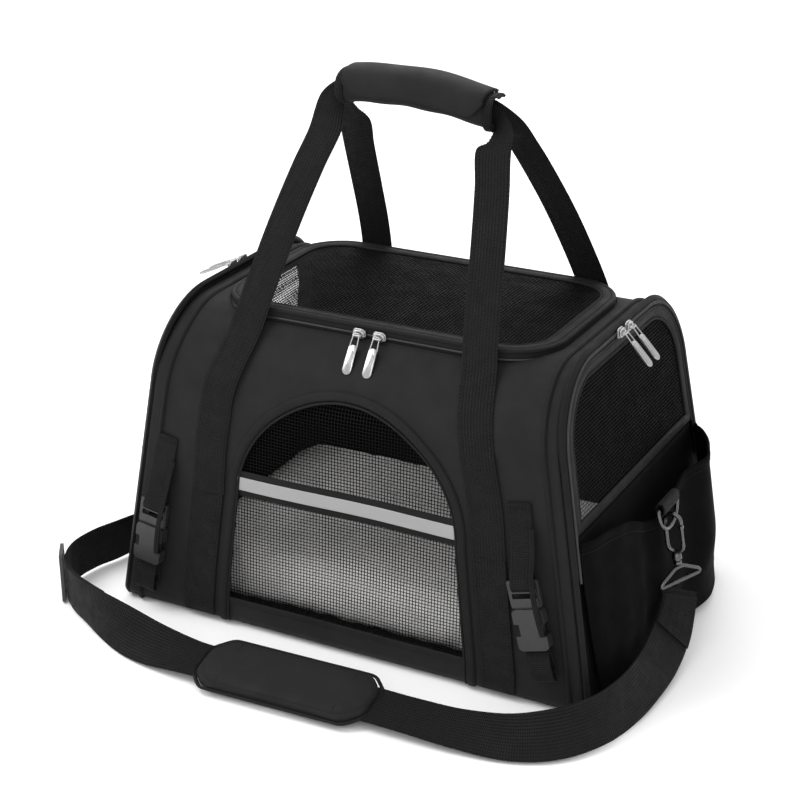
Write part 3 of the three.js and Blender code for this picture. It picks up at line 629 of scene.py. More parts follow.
def end_arch(inset, floor, count=20):
    """The sides and top of an end, from floor level at +y over the top to floor level at -y."""
    r = RIM_R - inset
    right = arc((RIM_ARC_Y, RIM_ARC_Z), (r, r), 0, 90, count)
    left = arc((-RIM_ARC_Y, RIM_ARC_Z), (r, r), 90, 180, count)
    return np.vstack([[(end_edge(floor, inset), floor)], right, left, [(-end_edge(floor, inset), floor)]])


def full_end(inset, count=12):
    r = FOOT_R - inset
    left = arc((-RIM_FOOT_Y, FOOT_R), (r, r), 180, 270, count)
    right = arc((RIM_FOOT_Y, FOOT_R), (r, r), 270, 360, count)
    return np.vstack([left, right, end_arch(inset, FOOT_R + 0.002)])


def crossings(polygon, axis, at):
    """Where a line at a constant coordinate enters and leaves a closed outline."""
    a, b = polygon, np.roll(polygon, -1, 0)
    cuts = (a[:, axis] - at) * (b[:, axis] - at) < 0
    a, b = a[cuts], b[cuts]
    t = (at - a[:, axis]) / (b[:, axis] - a[:, axis])
    found = a[:, 1 - axis] + t * (b[:, 1 - axis] - a[:, 1 - axis])
    return (found.min(), found.max()) if len(found) else None


def within(polygon, x, y):
    inside = np.zeros(np.shape(x), bool)
    for (x0, y0), (x1, y1) in zip(polygon, np.roll(polygon, -1, 0)):
        if y0 == y1:
            continue
        spans = (y0 > y) != (y1 > y)
        inside ^= spans & (x < (x1 - x0) * (y - y0) / (y1 - y0) + x0)
    return inside


def woven_mesh(name, surface, outline, out, pitch=MESH_PITCH, yarn=0.00095, depth=0.00038, weave=0.00022):
    """Open mesh as real yarns: two sets of flat strands that pass over and under each other."""
    form = Form()
    strand = band_section(yarn, depth, 0.35)[[0, 2, 3, 7]]
    for axis in (0, 1):
        low, high = outline[:, axis].min(), outline[:, axis].max()
        for number, at in enumerate(np.arange(low + pitch * 0.6, high - pitch * 0.3, pitch)):
            span = crossings(outline, axis, at)
            if span is None or span[1] - span[0] < 3 * pitch:
                continue
            base = outline[:, 1 - axis].min() + pitch * 0.6
            first = math.ceil((span[0] - base) / pitch)
            last = math.floor((span[1] - base) / pitch)
            steps = np.arange(first, last + 1)
            along = np.concatenate([[span[0]], base + steps * pitch, [span[1]]])
            over = np.concatenate([[0], np.where((steps + number + axis) % 2, 1, -1), [0]]) * weave
            fixed = np.full(len(along), at)
            path = np.stack([fixed, along] if axis == 0 else [along, fixed], 1)
            form.sweep(lie(surface, path, out + over), strand)
    return form.build(name, YARN_BLACK, 80)


# ------------------------------------------------------------ padded body
def add_body():
    lid_hole = resample(lid_outline(0.0006, 16), 0.001, True)
    window_hole = resample(window_outline(0.0, 80), 0.001, True)
    steps = np.linspace(-1, 1, 133)
    runs = np.concatenate([np.linspace(-FOOT_Y, 0, 20)[:-1], np.linspace(0, FOOT_ARC, 13)[:-1],
                           np.linspace(FOOT_ARC, ARC_AT_SHOULDER, 52)[:-1],
                           np.linspace(ARC_AT_SHOULDER, ARC_AT_TOP, 32)[:-1],
                           np.linspace(ARC_AT_TOP, ARC_AT_TOP + SHOULDER_Y, 20)])
    heights = section(runs, 0.0)[1]
    x = steps[:, None] * (END_HALF - 0.0003 - END_LEAN * heights[None, :])
    front, rear = (shell(face)(x, runs[None, :], 0.0) for face in (-1, 1))
    points = np.concatenate([front, rear[:, -2:0:-1]], 1)
    around = np.concatenate([runs, 2 * runs[-1] - runs[-2:0:-1]])
    on_front = np.concatenate([np.ones(len(runs), bool), np.zeros(len(runs) - 2, bool)])
    flat_height = np.interp(np.concatenate([runs, runs[-2:0:-1]]), RUN_TABLE, HEIGHT_TABLE)

    def open_at(px, py, pz, height, is_front):
        return (within(lid_hole, px, py) & (pz > 0.235)) | (within(window_hole, px, height) & is_front)

    tall = np.broadcast_to(flat_height, points.shape[:2])
    fronts = np.broadcast_to(on_front, points.shape[:2])
    middle = lambda m: (m[:-1] + m[1:] + np.roll(m, -1, 1)[:-1] + np.roll(m, -1, 1)[1:]) / 4
    centre = middle(points)
    hole = open_at(centre[..., 0], centre[..., 1], centre[..., 2], middle(tall), fronts[:-1])

    # A grid point on the edge of an opening moves onto the opening's own outline.
    touched = np.zeros(points.shape[:2], int)
    for di in (0, 1):
        for dj in (0, 1):
            touched[di:len(touched) - 1 + di] += np.roll(hole, dj, 1)
    edge = (touched > 0) & (touched < 4)
    for i, j in zip(*np.nonzero(edge)):
        px, py, pz = points[i, j]
        if pz > 0.235:
            px, py = lid_hole[np.argmin(((lid_hole - (px, py)) ** 2).sum(1))]
            ladder = shell(-1 if py < 0 else 1)(px, np.linspace(ARC_AT_SHOULDER, ARC_AT_TOP + SHOULDER_Y, 160))
            order = np.argsort(np.abs(ladder[:, 1]))
            points[i, j] = (px, py, np.interp(abs(py), np.abs(ladder[order, 1]), ladder[order, 2]))
        else:
            px, height = window_hole[np.argmin(((window_hole - (px, tall[i, j])) ** 2).sum(1))]
            points[i, j] = on_wall(-1)(px, height)
    u = np.broadcast_to(steps[:, None] * END_HALF, (len(steps), len(around) + 1))
    v = np.broadcast_to(np.append(around, 2 * runs[-1] + FOOT_Y), u.shape)
    form = Form()
    form.grid(points, u, v, tube=True, keep=~hole)
    body = form.build("body_shell", FABRIC_BLACK, 50)
    body.data.materials.append(LINING_BLACK)
    lined = thicken(body, FABRIC, -1.0).modifiers["thickness"]
    lined.material_offset = 1
    panels = ["front_panel", "rear_panel", "left_top_panel", "right_top_panel", "base_panel"]
    return settle(body, "root", panels)


def section_loop(margin):
    """The body's whole section at a margin in from the end seam, for piping: the runs and the reach along x at each.
    """
    runs = np.linspace(-FOOT_Y, ARC_AT_TOP + SHOULDER_Y, 150)
    reach = half_length(section(runs, 0.0)[1]) - margin
    return runs, reach


PIPING_FLOOR = 0.0024  # under the base the piping sinks into the cloth


def around_body(side, margin, out):
    runs, reach = section_loop(margin)
    front = shell(-1)(side * reach, runs, out)
    rear = shell(1)(side * reach, runs, out)[-2:0:-1]
    path = np.vstack([front, rear])
    path[:, 2] = np.maximum(path[:, 2], PIPING_FLOOR)
    raised = np.vstack([shell(-1)(side * reach, runs, out + PROBE),
                        shell(1)(side * reach, runs, out + PROBE)[-2:0:-1]])
    along = tangents(path, True)
    sides = unit(np.cross(along, unit(raised - path)))
    return path, sides, unit(np.cross(sides, along))


GUSSET = 0.0115  # width of the strip between the wall's piping and the end seam


def add_gusset_piping():
    form = Form()
    for side in SIDES.values():
        above = around_body(side, GUSSET, 0.0006)
        form.sweep(above, band_section(0.0042, 0.0030, 0.45, 0.0004), loop=True)
    settle(form.build("gusset_piping", BINDING_BLACK, 60), "root")


# ------------------------------------------------------------ front window
def add_window():
    wall = on_wall(-1)
    yarn = woven_mesh("front_window_yarn", wall, window_outline(0.001), -0.0015, yarn=0.00072)
    settle(yarn, "root", ["front_window_mesh"])
    foot, spring = WINDOW_FOOT + 0.0036, WINDOW_HALF + 0.0036
    arch = arc((0, WINDOW_SPRING), (spring, WINDOW_APEX - WINDOW_SPRING + 0.0036), 0, 180, 60)
    right = np.array([(foot + 0.001, 0.005), (foot, 0.025)])
    path = resample(np.vstack([right, arch, right[::-1] * (-1, 1)]), 0.003)
    band = Form().sweep(lie(wall, path, 0.0009), band_section(0.0078, 0.0022, 0.4, 0.0006))
    inner = path + 0.0
    inner[:, 0] *= 1 - 0.0046 / spring
    inner[:, 1] = np.minimum(inner[:, 1], WINDOW_APEX + 0.0036) - 0.0046 * ease(0.10, 0.215, inner[:, 1])
    band.sweep(lie(wall, inner, 0.0010), wire_section(0.0011))
    settle(band.build("front_window_binding", BINDING_BLACK, 50), "root")
    row = Form()
    row.stitches(lie(wall, path * (0.985, 1), 0.0026))
    row.stitches(lie(wall, path * (1.02, 1) + (0, 0.0012), 0.0024))
    settle(row.build("front_window_stitching", THREAD_BLACK), "root")
    sill = resample(np.array([(-WINDOW_FOOT - 0.001, WINDOW_FLOOR), (WINDOW_FOOT + 0.001, WINDOW_FLOOR)]), 0.004)
    sill_band = Form().sweep(lie(wall, sill, 0.0002), band_section(0.0050, 0.0016, 0.4, 0.0003))
    settle(sill_band.build("front_window_sill", BINDING_BLACK, 50), "root")


def add_reflective_strip():
    wall = on_wall(-1)
    ends = crossings(window_outline(0.001), 1, TAPE_MIDDLE)
    path = resample([(ends[0], TAPE_MIDDLE), (ends[1], TAPE_MIDDLE)], 0.004)
    backing = Form().sweep(lie(wall, path, -0.0003), band_section(0.0228, 0.0014, 0.4))
    settle(backing.build("reflective_strip_backing", BINDING_BLACK, 50), "root")
    face = Form().sweep(lie(wall, path, 0.0006), band_section(0.0118, 0.0007, 0.4))
    settle(face.build("reflective_strip_face", TAPE_SILVER, 50), "root", ["front_reflective_strip"])
    row = Form()
    for shift in (-0.0073, 0.0073):
        row.stitches(lie(wall, path + (0, shift), 0.0005))
    settle(row.build("reflective_strip_stitching", THREAD_BLACK), "root")


# ------------------------------------------------------------ ends, doors and pockets
def ribbed_coil(form, path, radius=0.0012, pitch=0.0015):
    centres, _, _ = path
    ridge = 1 + 0.16 * np.cos(2 * math.pi * run_of(centres) / pitch)
    form.sweep(path, wire_section(radius, 7), scale=ridge)


def add_end(name, side):
    surface = on_end(side)
    rim = Form()
    loop = resample(full_end(0.0026), 0.003, True)
    rim.sweep(lie(surface, loop, 0.0024, True), band_section(0.0052, 0.0046, 0.45, 0.0008), loop=True)
    settle(rim.build(f"{name}_end_binding", BINDING_BLACK, 60), "root", [f"{name}_end_rim"])

    panel = Form()
    heights = np.linspace(0.006, 0.1424, 30)
    foot = RIM_FOOT_Y + np.sqrt(np.clip((FOOT_R - 0.004) ** 2 - np.clip(FOOT_R - heights, 0, None) ** 2, 0, None))
    reach = np.where(heights < FOOT_R, foot, end_edge(heights, 0.004))
    y = np.linspace(-1, 1, 40)[None, :] * reach[:, None]
    grid = surface(y, np.broadcast_to(heights[:, None], y.shape), 0.002)
    panel.grid(grid, heights, np.linspace(-0.13, 0.13, 40))
    settle(thicken(panel.build(f"{name}_end_lining", LINING_BLACK), 0.0014, 0.0), "root",
           [f"{name}_end_panel"])

    zip_line = resample(end_arch(0.0056, 0.112, 30), 0.0005)
    coil, tape = Form(), Form()
    ribbed_coil(coil, lie(surface, zip_line, 0.0060))
    tape.sweep(lie(surface, zip_line[::6], 0.0048), band_section(0.0060, 0.0010, 0.3))
    settle(coil.build(f"{name}_zip_coil", COIL_BLACK, 180), "root")
    settle(tape.build(f"{name}_zip_tape", BINDING_BLACK, 60), "root")

    door_body = f"{name}_door"
    piping = resample(end_arch(0.0096, DOOR_FLOOR + 0.0015, 24), 0.003)
    border = resample(end_arch(0.0146, DOOR_FLOOR + 0.0055, 24), 0.003)
    floor = resample([(-end_edge(DOOR_FLOOR, 0.010), DOOR_FLOOR + 0.005),
                      (end_edge(DOOR_FLOOR, 0.010), DOOR_FLOOR + 0.005)], 0.004)
    door = Form()
    door.sweep(lie(surface, piping, 0.0044), wire_section(0.0017))
    door.sweep(lie(surface, border, 0.0036), band_section(0.0092, 0.0022, 0.4, 0.0007))
    door.sweep(lie(surface, floor, 0.0036), band_section(0.0100, 0.0020, 0.4, 0.0005))
    inner = resample(end_arch(0.0190, DOOR_FLOOR + 0.0100, 24), 0.003)
    door.sweep(lie(surface, inner, 0.0044), wire_section(0.0010))
    settle(door.build(f"{name}_door_border", BINDING_BLACK, 50), door_body, [f"{name}_door_frame"])
    rows = Form()
    rows.stitches(lie(surface, resample(end_arch(0.0172, DOOR_FLOOR + 0.009, 24), 0.003), 0.0052))
    settle(rows.build(f"{name}_door_stitching", THREAD_BLACK), door_body)
    mesh_edge = end_arch(0.0172, DOOR_FLOOR + 0.0080, 30)
    settle(woven_mesh(f"{name}_door_yarn", surface, mesh_edge, 0.0034), door_body, [f"{name}_door_mesh"])


def pocket_belly(y, share):
    across = np.clip(1 - np.abs(y / 0.124) ** 3, 0, None)
    return (0.014 + 0.021 * ease(0.015, 0.080, y)) * across ** 0.7 * (0.62 + 0.38 * ease(0, 0.5, share))


def pocket_folds(y, share):
    """Soft upright folds of the slack pocket cloth, dying out at its seams."""
    fade = np.clip(1 - np.abs(y / 0.124) ** 4, 0, None) * ease(0.0, 0.35, share)
    lean = y + 0.018 * (1 - share)
    folds = np.sin(lean * 92 + 0.6) * 0.0017 + np.sin(lean * 171 + 2.0 + share) * 0.0009 + np.sin(lean * 47) * 0.0016
    return fade * folds


def hem_height(y):
    """The ring hung on the hem pulls its middle down."""
    return POCKET_TOP - 0.026 * np.exp(-((y + 0.012) / 0.043) ** 2)


def pocket_surface(side):
    def surface(v, share, out=0.0):
        v, share = np.broadcast_arrays(np.asarray(v, float), np.asarray(share, float))
        y = v * (0.1275 - 0.0060 * (1 - share) ** 3)
        z = POCKET_FLOOR + share * (hem_height(y) - POCKET_FLOOR)
        lift = RIM_OUT + 0.0012 + pocket_belly(y, share) + pocket_folds(y, share) + out
        return np.stack([side * (half_length(z) + lift), y, z], -1)
    return surface


def add_pocket(name, side):
    surface = pocket_surface(side)
    v, share = np.linspace(-1, 1, 120), np.linspace(0, 1, 60)
    form = Form()
    form.grid(surface(v[:, None], share[None, :]), v * 0.128, share * 0.131)
    # The pocket cloth and its hem take the darker cloth, whose extra darkness is painted shade.
    cloth = thicken(form.build(f"{name}_pocket_cloth", POCKET_BLACK_PAINTED_SHADE, 60), 0.0014, 0.0)
    settle(cloth, "root", [f"{name}_pocket"])
    top = np.stack([np.linspace(-0.995, 0.995, 90), np.full(90, 0.988)], 1)
    hem = Form().sweep(lie(surface, top, 0.0006), band_section(0.0085, 0.0024, 0.45, 0.0004))
    settle(hem.build(f"{name}_pocket_hem", POCKET_BLACK_PAINTED_SHADE, 60), "root")
    rows = Form()
    rows.stitches(lie(surface, top - (0, 0.032), 0.0018))
    settle(rows.build(f"{name}_pocket_stitching", THREAD_BLACK), "root")


# ------------------------------------------------------------ top door
def add_lid():
    form = Form()
    roll = resample(lid_outline(-0.0022), 0.003, True)
    form.sweep(lie(on_lid, roll, -0.0022, True), wire_section(0.0023, 10), loop=True)
    border = resample(lid_outline(-0.0078), 0.003, True)
    form.sweep(lie(on_lid, border, -0.0016, True), band_section(0.0088, 0.0020, 0.4, 0.0006), loop=True)
    inner = resample(lid_outline(-0.0124), 0.003, True)
    form.sweep(lie(on_lid, inner, -0.0010, True), wire_section(0.0011), loop=True)
    band_line = resample(lid_outline(-0.0012), 0.003, True)
    upright = lambda s, t, out: np.stack([s, t, np.zeros_like(s) + out], -1)
    backing_line = resample(lid_outline(-0.0026), 0.003, True)
    centres, sides, ups = lie(upright, backing_line, 0.2631, True)
    form.sweep((centres, ups, -sides), band_section(0.0118, 0.0012, 0.4), loop=True)
    for height, tall, thick in ((0.2662, 0.0044, 0.0020), (0.2598, 0.0052, 0.0016)):
        centres, sides, ups = lie(upright, band_line, height, True)
        form.sweep((centres, ups, -sides), band_section(tall, thick, 0.4), loop=True)
    settle(form.build("top_door_border", BINDING_BLACK, 50), "top_door", ["top_door_frame"])
    coil = Form()
    zip_line = resample(lid_outline(-0.0002), 0.0005, True)
    centres, sides, ups = lie(upright, zip_line, 0.2633, True)
    ridge = 1 + 0.16 * np.cos(2 * math.pi * run_of(centres) / 0.0015)
    coil.sweep((centres, sides, ups), wire_section(0.0011, 7), loop=True, scale=ridge)
    settle(coil.build("top_zip_coil", COIL_BLACK, 180), "top_door")
    rows = Form()
    for grow in (-0.0048, -0.0108):
        line = resample(lid_outline(grow), 0.003, True)
        rows.stitches(lie(on_lid, np.vstack([line, line[:1]]), 0.0003))
    settle(rows.build("top_door_stitching", THREAD_BLACK), "top_door")
    edge = lid_outline(-0.0112)
    settle(woven_mesh("top_door_yarn", on_lid, edge, -0.0018), "top_door", ["top_door_mesh"])


# ------------------------------------------------------------ carry handles
HANDLE_LEG = [
    (0.1282, 0.1364, 0.1196), (0.125, 0.1339, 0.158), (0.119, 0.1316, 0.194), (0.1155, 0.1293, 0.211),
    (0.1115, 0.1222, 0.227), (0.1075, 0.1098, 0.243), (0.1045, 0.099, 0.258), (0.102, 0.0926, 0.2715),
    (0.097, 0.0775, 0.300), (0.090, 0.056, 0.340), (0.0815, 0.0345, 0.380), (0.075, 0.021, 0.405),
]
GRIP_RUN = [  # x, y, z, turn of the webbing, half its width
    (0.0745, 0.0105, 0.4205, 0.6, 0.0125), (0.0685, 0.0042, 0.4318, 1.35, 0.0086),
    (0.063, 0.0036, 0.4344, 1.55, 0.0088), (0.050, 0.0034, 0.437, math.pi / 2, 0.009),
    (0.025, 0.0034, 0.440, math.pi / 2, 0.009), (0.008, 0.0034, 0.441, math.pi / 2, 0.009),
]
SWAY = {"front": -0.004, "rear": 0.007}
LID_CLEARANCE = {"front": 0.0, "rear": 0.005}
FACES = {"front": -1, "rear": 1}
GRIP_HEIGHT, GRIP_HALF = 0.441, 0.066


def grip_line(x):
    return GRIP_HEIGHT - 0.06 * x - 1.6 * x * x


def bow(z, low, high):
    return math.sin(math.pi * min(1.0, max(0.0, (z - low) / (high - low))))


def handle_stations(place):
    def station(entry, sign):
        x, y, z, turn, half, lift = entry
        drift = SWAY[place] * bow(z, 0.130, 0.430) * (1 - lift)
        x_at = sign * x + drift
        y_at = y + LID_CLEARANCE[place] * bow(z, 0.190, 0.420) * (1 - lift)
        slope = -0.06 * x_at * lift
        centre = (x_at, FACES[place] * y_at, z + slope)
        return centre, (-sign * math.cos(turn) * half, 0, -math.sin(turn) * half)
    half = [(x, y, z, 0.0, HANDLE_WIDTH / 2, 0) for x, y, z in HANDLE_LEG] + [(*g, 1) for g in GRIP_RUN]
    return [station(s, -1) for s in half] + [station(s, 1) for s in half[::-1]]


WALL_TOUCH = 0.205  # each leg lies against the wall up to this height


def add_handle(place):
    stations = handle_stations(place)
    centres = spline([c for c, _ in stations], 9)
    face = FACES[place]
    on_cloth = centres[:, 2] < WALL_TOUCH
    wall = on_wall(face)(centres[:, 0], centres[:, 2], WEBBING)[:, 1]
    centres[on_cloth, 1] = face * np.maximum(face * centres, face * wall[:, None])[on_cloth, 1]
    across = spline([a for _, a in stations], 9, 0)
    sides = unit(across)
    ups = unit(np.cross(sides, tangents(centres)))
    half = np.linalg.norm(across, axis=1)
    flat = band_section(1.0, 1.0, 0.35)
    scaled = flat[None] * np.stack([2 * half, np.full(len(half), WEBBING)], 1)[:, None]
    handle = Form().sweep((centres, sides, ups), scaled).build(f"{place}_handle_webbing", WEBBING_BLACK)
    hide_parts(f"{place}_handle")
    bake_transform(handle)
    rows = Form()
    for shift in (-0.0125, 0.0125):
        for lift in (0.0011, -0.0011):
            rows.stitches((centres + sides * shift * (half / 0.015)[:, None] + ups * lift, sides, ups))
    thread = rows.build(f"{place}_handle_stitching", THREAD_BLACK)
    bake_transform(thread)


STRAP_FOOT_X, STRAP_STITCH_X = 0.140, 0.1286


def add_sewn_strap(place, name, side):
    wall = shell(FACES[place])
    sign = side
    runs = np.linspace(-0.012, np.interp(0.1200, HEIGHT_TABLE, RUN_TABLE), 50)
    share = np.clip((runs - np.interp(0.020, HEIGHT_TABLE, RUN_TABLE)) / 0.098, 0, 1)
    x = sign * (STRAP_FOOT_X + (STRAP_STITCH_X - STRAP_FOOT_X) * share)
    path = np.stack([x, runs], 1)
    path = path[runs > FOOT_R]
    webbing = Form().sweep(lie(wall, path, 0.0013), band_section(HANDLE_WIDTH, WEBBING, 0.35))
    settle(webbing.build(f"{place}_{name}_sewn_webbing", WEBBING_BLACK), "root",
           [f"{place}_{name}_sewn_strap"])
    rows = Form()
    for shift in (-0.0122, 0.0122):
        rows.stitches(lie(wall, path + (shift, 0), 0.0023))
    top = path[-1, 1]
    for drop in (0.003, 0.026):
        across = np.stack([path[-1, 0] + np.linspace(-0.012, 0.012, 12), np.full(12, top - drop)], 1)
        rows.stitches(lie(wall, across, 0.0023))
    for start, stop in (((-0.012, 0.003), (0.012, 0.026)), ((0.012, 0.003), (-0.012, 0.026))):
        t = np.linspace(0, 1, 20)[:, None]
        corner = np.array(start) * (1 - t) + np.array(stop) * t
        rows.stitches(lie(wall, np.stack([path[-1, 0] + corner[:, 0], top - corner[:, 1]], 1), 0.0023))
    settle(rows.build(f"{place}_{name}_sewn_stitching", THREAD_BLACK), "root")


def wrap_section(angle, grow=0.0, inner=False):
    """Outline of the grip's padded channel by angle from the front (0) over the top (90)."""
    y_radius, z_radius = (0.0078, 0.0116) if inner else (0.0165 + grow, 0.0132 + grow)
    bend = 0.8
    c, s = np.cos(angle), np.sin(angle)
    return -y_radius * np.sign(c) * np.abs(c) ** bend, z_radius * np.sign(s) * np.abs(s) ** bend


def add_grip():
    open_angle = math.radians(132)
    x = np.linspace(-GRIP_HALF, GRIP_HALF, 56)
    outer_angles = np.linspace(-open_angle, open_angle, 34)
    sleeve = Form()
    rows = []
    for at in x:
        swell = 0.0009 * math.sin(math.pi * (at + GRIP_HALF) / (2 * GRIP_HALF)) + 0.0004 * math.sin(at * 160)
        oy, oz = wrap_section(outer_angles, swell)
        iy, iz = wrap_section(outer_angles[::-1], 0.0, True)
        ring = np.stack([np.full(68, at), np.concatenate([oy, iy]), np.concatenate([oz, iz]) + grip_line(at)], 1)
        rows.append(ring)
    ids = sleeve.grid(np.stack(rows), x, np.linspace(0, 0.16, 69), tube=True)
    sleeve.cap(ids[0][::-1], np.zeros((68, 2)))
    sleeve.cap(ids[-1], np.zeros((68, 2)))
    cover = sleeve.build("grip_sleeve", FABRIC_BLACK, 50)
    settle(cover, "front_handle", ["grip_wrap"])

    flap, hem, thread = Form(), Form(), Form()
    reach = GRIP_HALF - 0.004
    corner = 0.020
    share = np.linspace(0, 1, 40)
    flap_x = np.linspace(-reach, reach, 70)

    def flap_surface(s, t, out=0.0):
        s, t = np.broadcast_arrays(np.asarray(s, float), np.asarray(t, float))
        over = np.clip((np.abs(s) - (reach - corner)) / corner, 0, 1)
        stop = -14 + 58 * (1 - np.sqrt(1 - over ** 2 * 0.98))
        angle = np.radians(128 + (stop - 128) * t)
        y, z = wrap_section(angle, 0.0022 + out + 0.0005 * np.sin(s * 90 + 3 * t))
        return np.stack([s, y, z + grip_line(s)], -1)

    flap.grid(flap_surface(flap_x[:, None], share[None, :]), flap_x, share * 0.055)
    panel = thicken(flap.build("grip_flap", FABRIC_BLACK, 50), 0.0028, 0.0)
    settle(panel, "front_handle")
    flap_line = lambda inset, lift: lie(
        flap_surface, np.stack([flap_x * (1 - inset * 0.35), np.full(len(flap_x), 1 - inset)], 1), lift)
    hem.sweep(flap_line(0.0, 0.0006), wire_section(0.0013))
    thread.stitches(flap_line(0.07, 0.0013))
    settle(hem.build("grip_flap_hem", BINDING_BLACK, 60), "front_handle")
    for at in (-GRIP_HALF + 0.001, GRIP_HALF - 0.001):
        angles = np.linspace(-open_angle, open_angle, 50)
        y, z = wrap_section(angles, 0.0004)
        ring = carried(np.stack([np.full(50, at), y, z + grip_line(at)], 1), (1, 0, 0))
        bound = Form().sweep((ring[0], ring[2], ring[1]), band_section(0.0075, 0.0022, 0.45, 0.0004))
        side = "left" if at < 0 else "right"
        settle(bound.build(f"grip_{side}_binding", WEBBING_BLACK, 60), "front_handle")
    settle(thread.build("grip_stitching", THREAD_BLACK), "front_handle")


# ------------------------------------------------------------ compression straps and buckles
BUCKLE_FOOT = {"left": (-0.1864, 0.0467), "right": (0.175, 0.056)}
TAB_FOOT = {"left": (-0.1864, 0.0467), "right": (0.1695, 0.056)}
BUCKLE_TILT = {"left": math.atan(0.16), "right": math.atan(0.28)}
TAB_TILT = math.atan(0.16)
TAB_WIDTH = 0.020


def front_place(foot, turn):
    """Maps across, up and out of a turned frame to a front wall surface without the padding's waves."""
    foot_x, foot_v = foot
    slope = math.hypot(1, WALL_LEAN)

    def surface(across, up, out=0.0):
        across, up, out = np.broadcast_arrays(*[np.asarray(a, float) for a in (across, up, out)])
        x = foot_x + across * math.cos(turn) - up * math.sin(turn)
        v = foot_v + across * math.sin(turn) + up * math.cos(turn)
        return np.stack([x, -WALL_HALF + (WALL_LEAN * v - out) / slope, (v + WALL_LEAN * out) / slope], -1)
    return surface


def tab_place(name):
    """The strap runs in the buckle's frame below and swings to its own line above it."""
    at_buckle = front_place(BUCKLE_FOOT[name], SIDES[name] * BUCKLE_TILT[name])
    above = front_place(TAB_FOOT[name], SIDES[name] * TAB_TILT)

    def surface(across, up, out=0.0):
        share = ease(0.056, 0.075, np.asarray(up, float) + 0.0 * np.asarray(across, float))[..., None]
        return at_buckle(across, up, out) * (1 - share) + above(across, up, out) * share
    return surface


def webbing_in(surface, across, ups_outs, width, form):
    """A strap in a buckle's own frame, through points of up and out."""
    curve = spline(ups_outs, 8)
    centres = surface(np.full(len(curve), across), curve[:, 0], curve[:, 1])
    sides = unit(surface(across + PROBE, curve[:, 0], curve[:, 1]) - centres)
    along = tangents(centres)
    ups = unit(np.cross(sides, along))
    form.sweep((centres, unit(np.cross(along, ups)), ups), band_section(width, 0.0015, 0.35))
    return centres, sides, ups


def add_buckle(name):
    surface = tab_place(name)
    upper, lower, thread = Form(), Form(), Form()
    webbing_in(surface, 0.0, [(0.116, 0.0020), (0.108, 0.0024), (0.095, 0.0036), (0.075, 0.0062), (0.0630, 0.0084),
                              (0.0570, 0.0105), (0.0518, 0.0122), (0.0484, 0.0106)], TAB_WIDTH, upper)
    webbing_in(surface, 0.0, [(0.0484, 0.0106), (0.0470, 0.0072), (0.0486, 0.0056), (0.055, 0.0052),
                              (0.066, 0.0056), (0.080, 0.0042)], TAB_WIDTH, upper)
    webbing_in(surface, 0.0098, [(0.096, 0.0052), (0.085, 0.0078), (0.070, 0.0106), (0.050, 0.0148),
                                 (0.030, 0.0160), (0.012, 0.0140)], 0.0048, upper)
    webbing_in(surface, 0.0, [(0.006, 0.0090), (0.002, 0.0086), (-0.006, 0.0072), (-0.014, 0.0050),
                              (-0.0235, 0.0030)], TAB_WIDTH + 0.002, lower)
    roll = [(-0.0020, 0.0098), (-0.010, 0.0118), (-0.020, 0.0120),
            (-0.0262, 0.0100), (-0.0262, 0.0062), (-0.018, 0.0056)]
    webbing_in(surface, 0.0012, roll, TAB_WIDTH - 0.001, lower)
    strap_piece = upper.build(f"{name}_compression_webbing", WEBBING_BLACK)
    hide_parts(f"{name}_compression_strap")
    sewn, held = (tuple(float(v) for v in surface(0.0, up)) for up in (0.098, 0.062))
    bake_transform(strap_piece)
    settle(lower.build(f"{name}_buckle_tab", WEBBING_BLACK), "root")
    for up in (0.1135, 0.1110, 0.0975):
        across = np.linspace(-0.0088, 0.0088, 12)
        height = np.interp(up, [0.095, 0.116], [0.0036, 0.0020]) + 0.0010
        thread.stitches(carried(surface(across, np.full(12, up), height), (0, -1, 0)))
    settle(thread.build(f"{name}_compression_stitching", THREAD_BLACK), "root")


def finish_node(name, material, bevel=0.0005, segments=3):
    """A CAD node that stays: welded, with softened edges and its own finish."""
    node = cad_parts[name]
    node.data.materials.clear()
    node.data.materials.append(material)
    weld = node.modifiers.new("weld", "WELD")
    weld.merge_threshold = 0.00002
    if bevel:
        soft = node.modifiers.new("edges", "BEVEL")
        soft.width = bevel
        soft.segments = segments
        soft.limit_method = "ANGLE"
        soft.angle_limit = math.radians(32)
        soft.harden_normals = False


# ------------------------------------------------------------ zip sliders and pulls
BAR_HEIGHT = 0.0062


def in_frame(origin, right, up, out):
    turn = np.array([right, up, out], float)
    return lambda points: np.asarray(origin, float) + np.asarray(points, float) @ turn


def swung(place, angle):
    """A pull's own frame: it turns about the slider's bar."""
    c, s = math.cos(angle), math.sin(angle)
    turn = np.array([[1, 0, 0], [0, c, s], [0, -s, c]])
    return lambda points: place(np.asarray(points, float) @ turn + (0, 0, BAR_HEIGHT))


def wire(form, points, radius, up, loop=False, sides=8):
    return form.sweep(carried(points, up, loop), wire_section(radius, sides), loop=loop)


def slider_form(place):
    form = Form()
    outline = rounded([(-0.0056, -0.0024), (-0.0030, -0.0042), (0.0040, -0.0042), (0.0056, -0.0030),
                       (0.0056, 0.0030), (0.0040, 0.0042), (-0.0030, 0.0042), (-0.0056, 0.0024)], 0.0009, 4)
    form.slab(outline, 0.0, 0.0014, 0.0004, place)
    form.slab(outline * (0.92, 0.86), 0.0018, 0.0034, 0.0006, place)
    hump = resample([(-0.0037, 0, 0.0026), (-0.0037, 0, 0.0052), (-0.0030, 0, BAR_HEIGHT), (0.0030, 0, BAR_HEIGHT),
                     (0.0037, 0, 0.0052), (0.0037, 0, 0.0026)], 0.0004)
    up = place([(0, 1, 0)])[0] - place([(0, 0, 0)])[0]
    wire(form, place(hump), 0.00075, up)
    return form


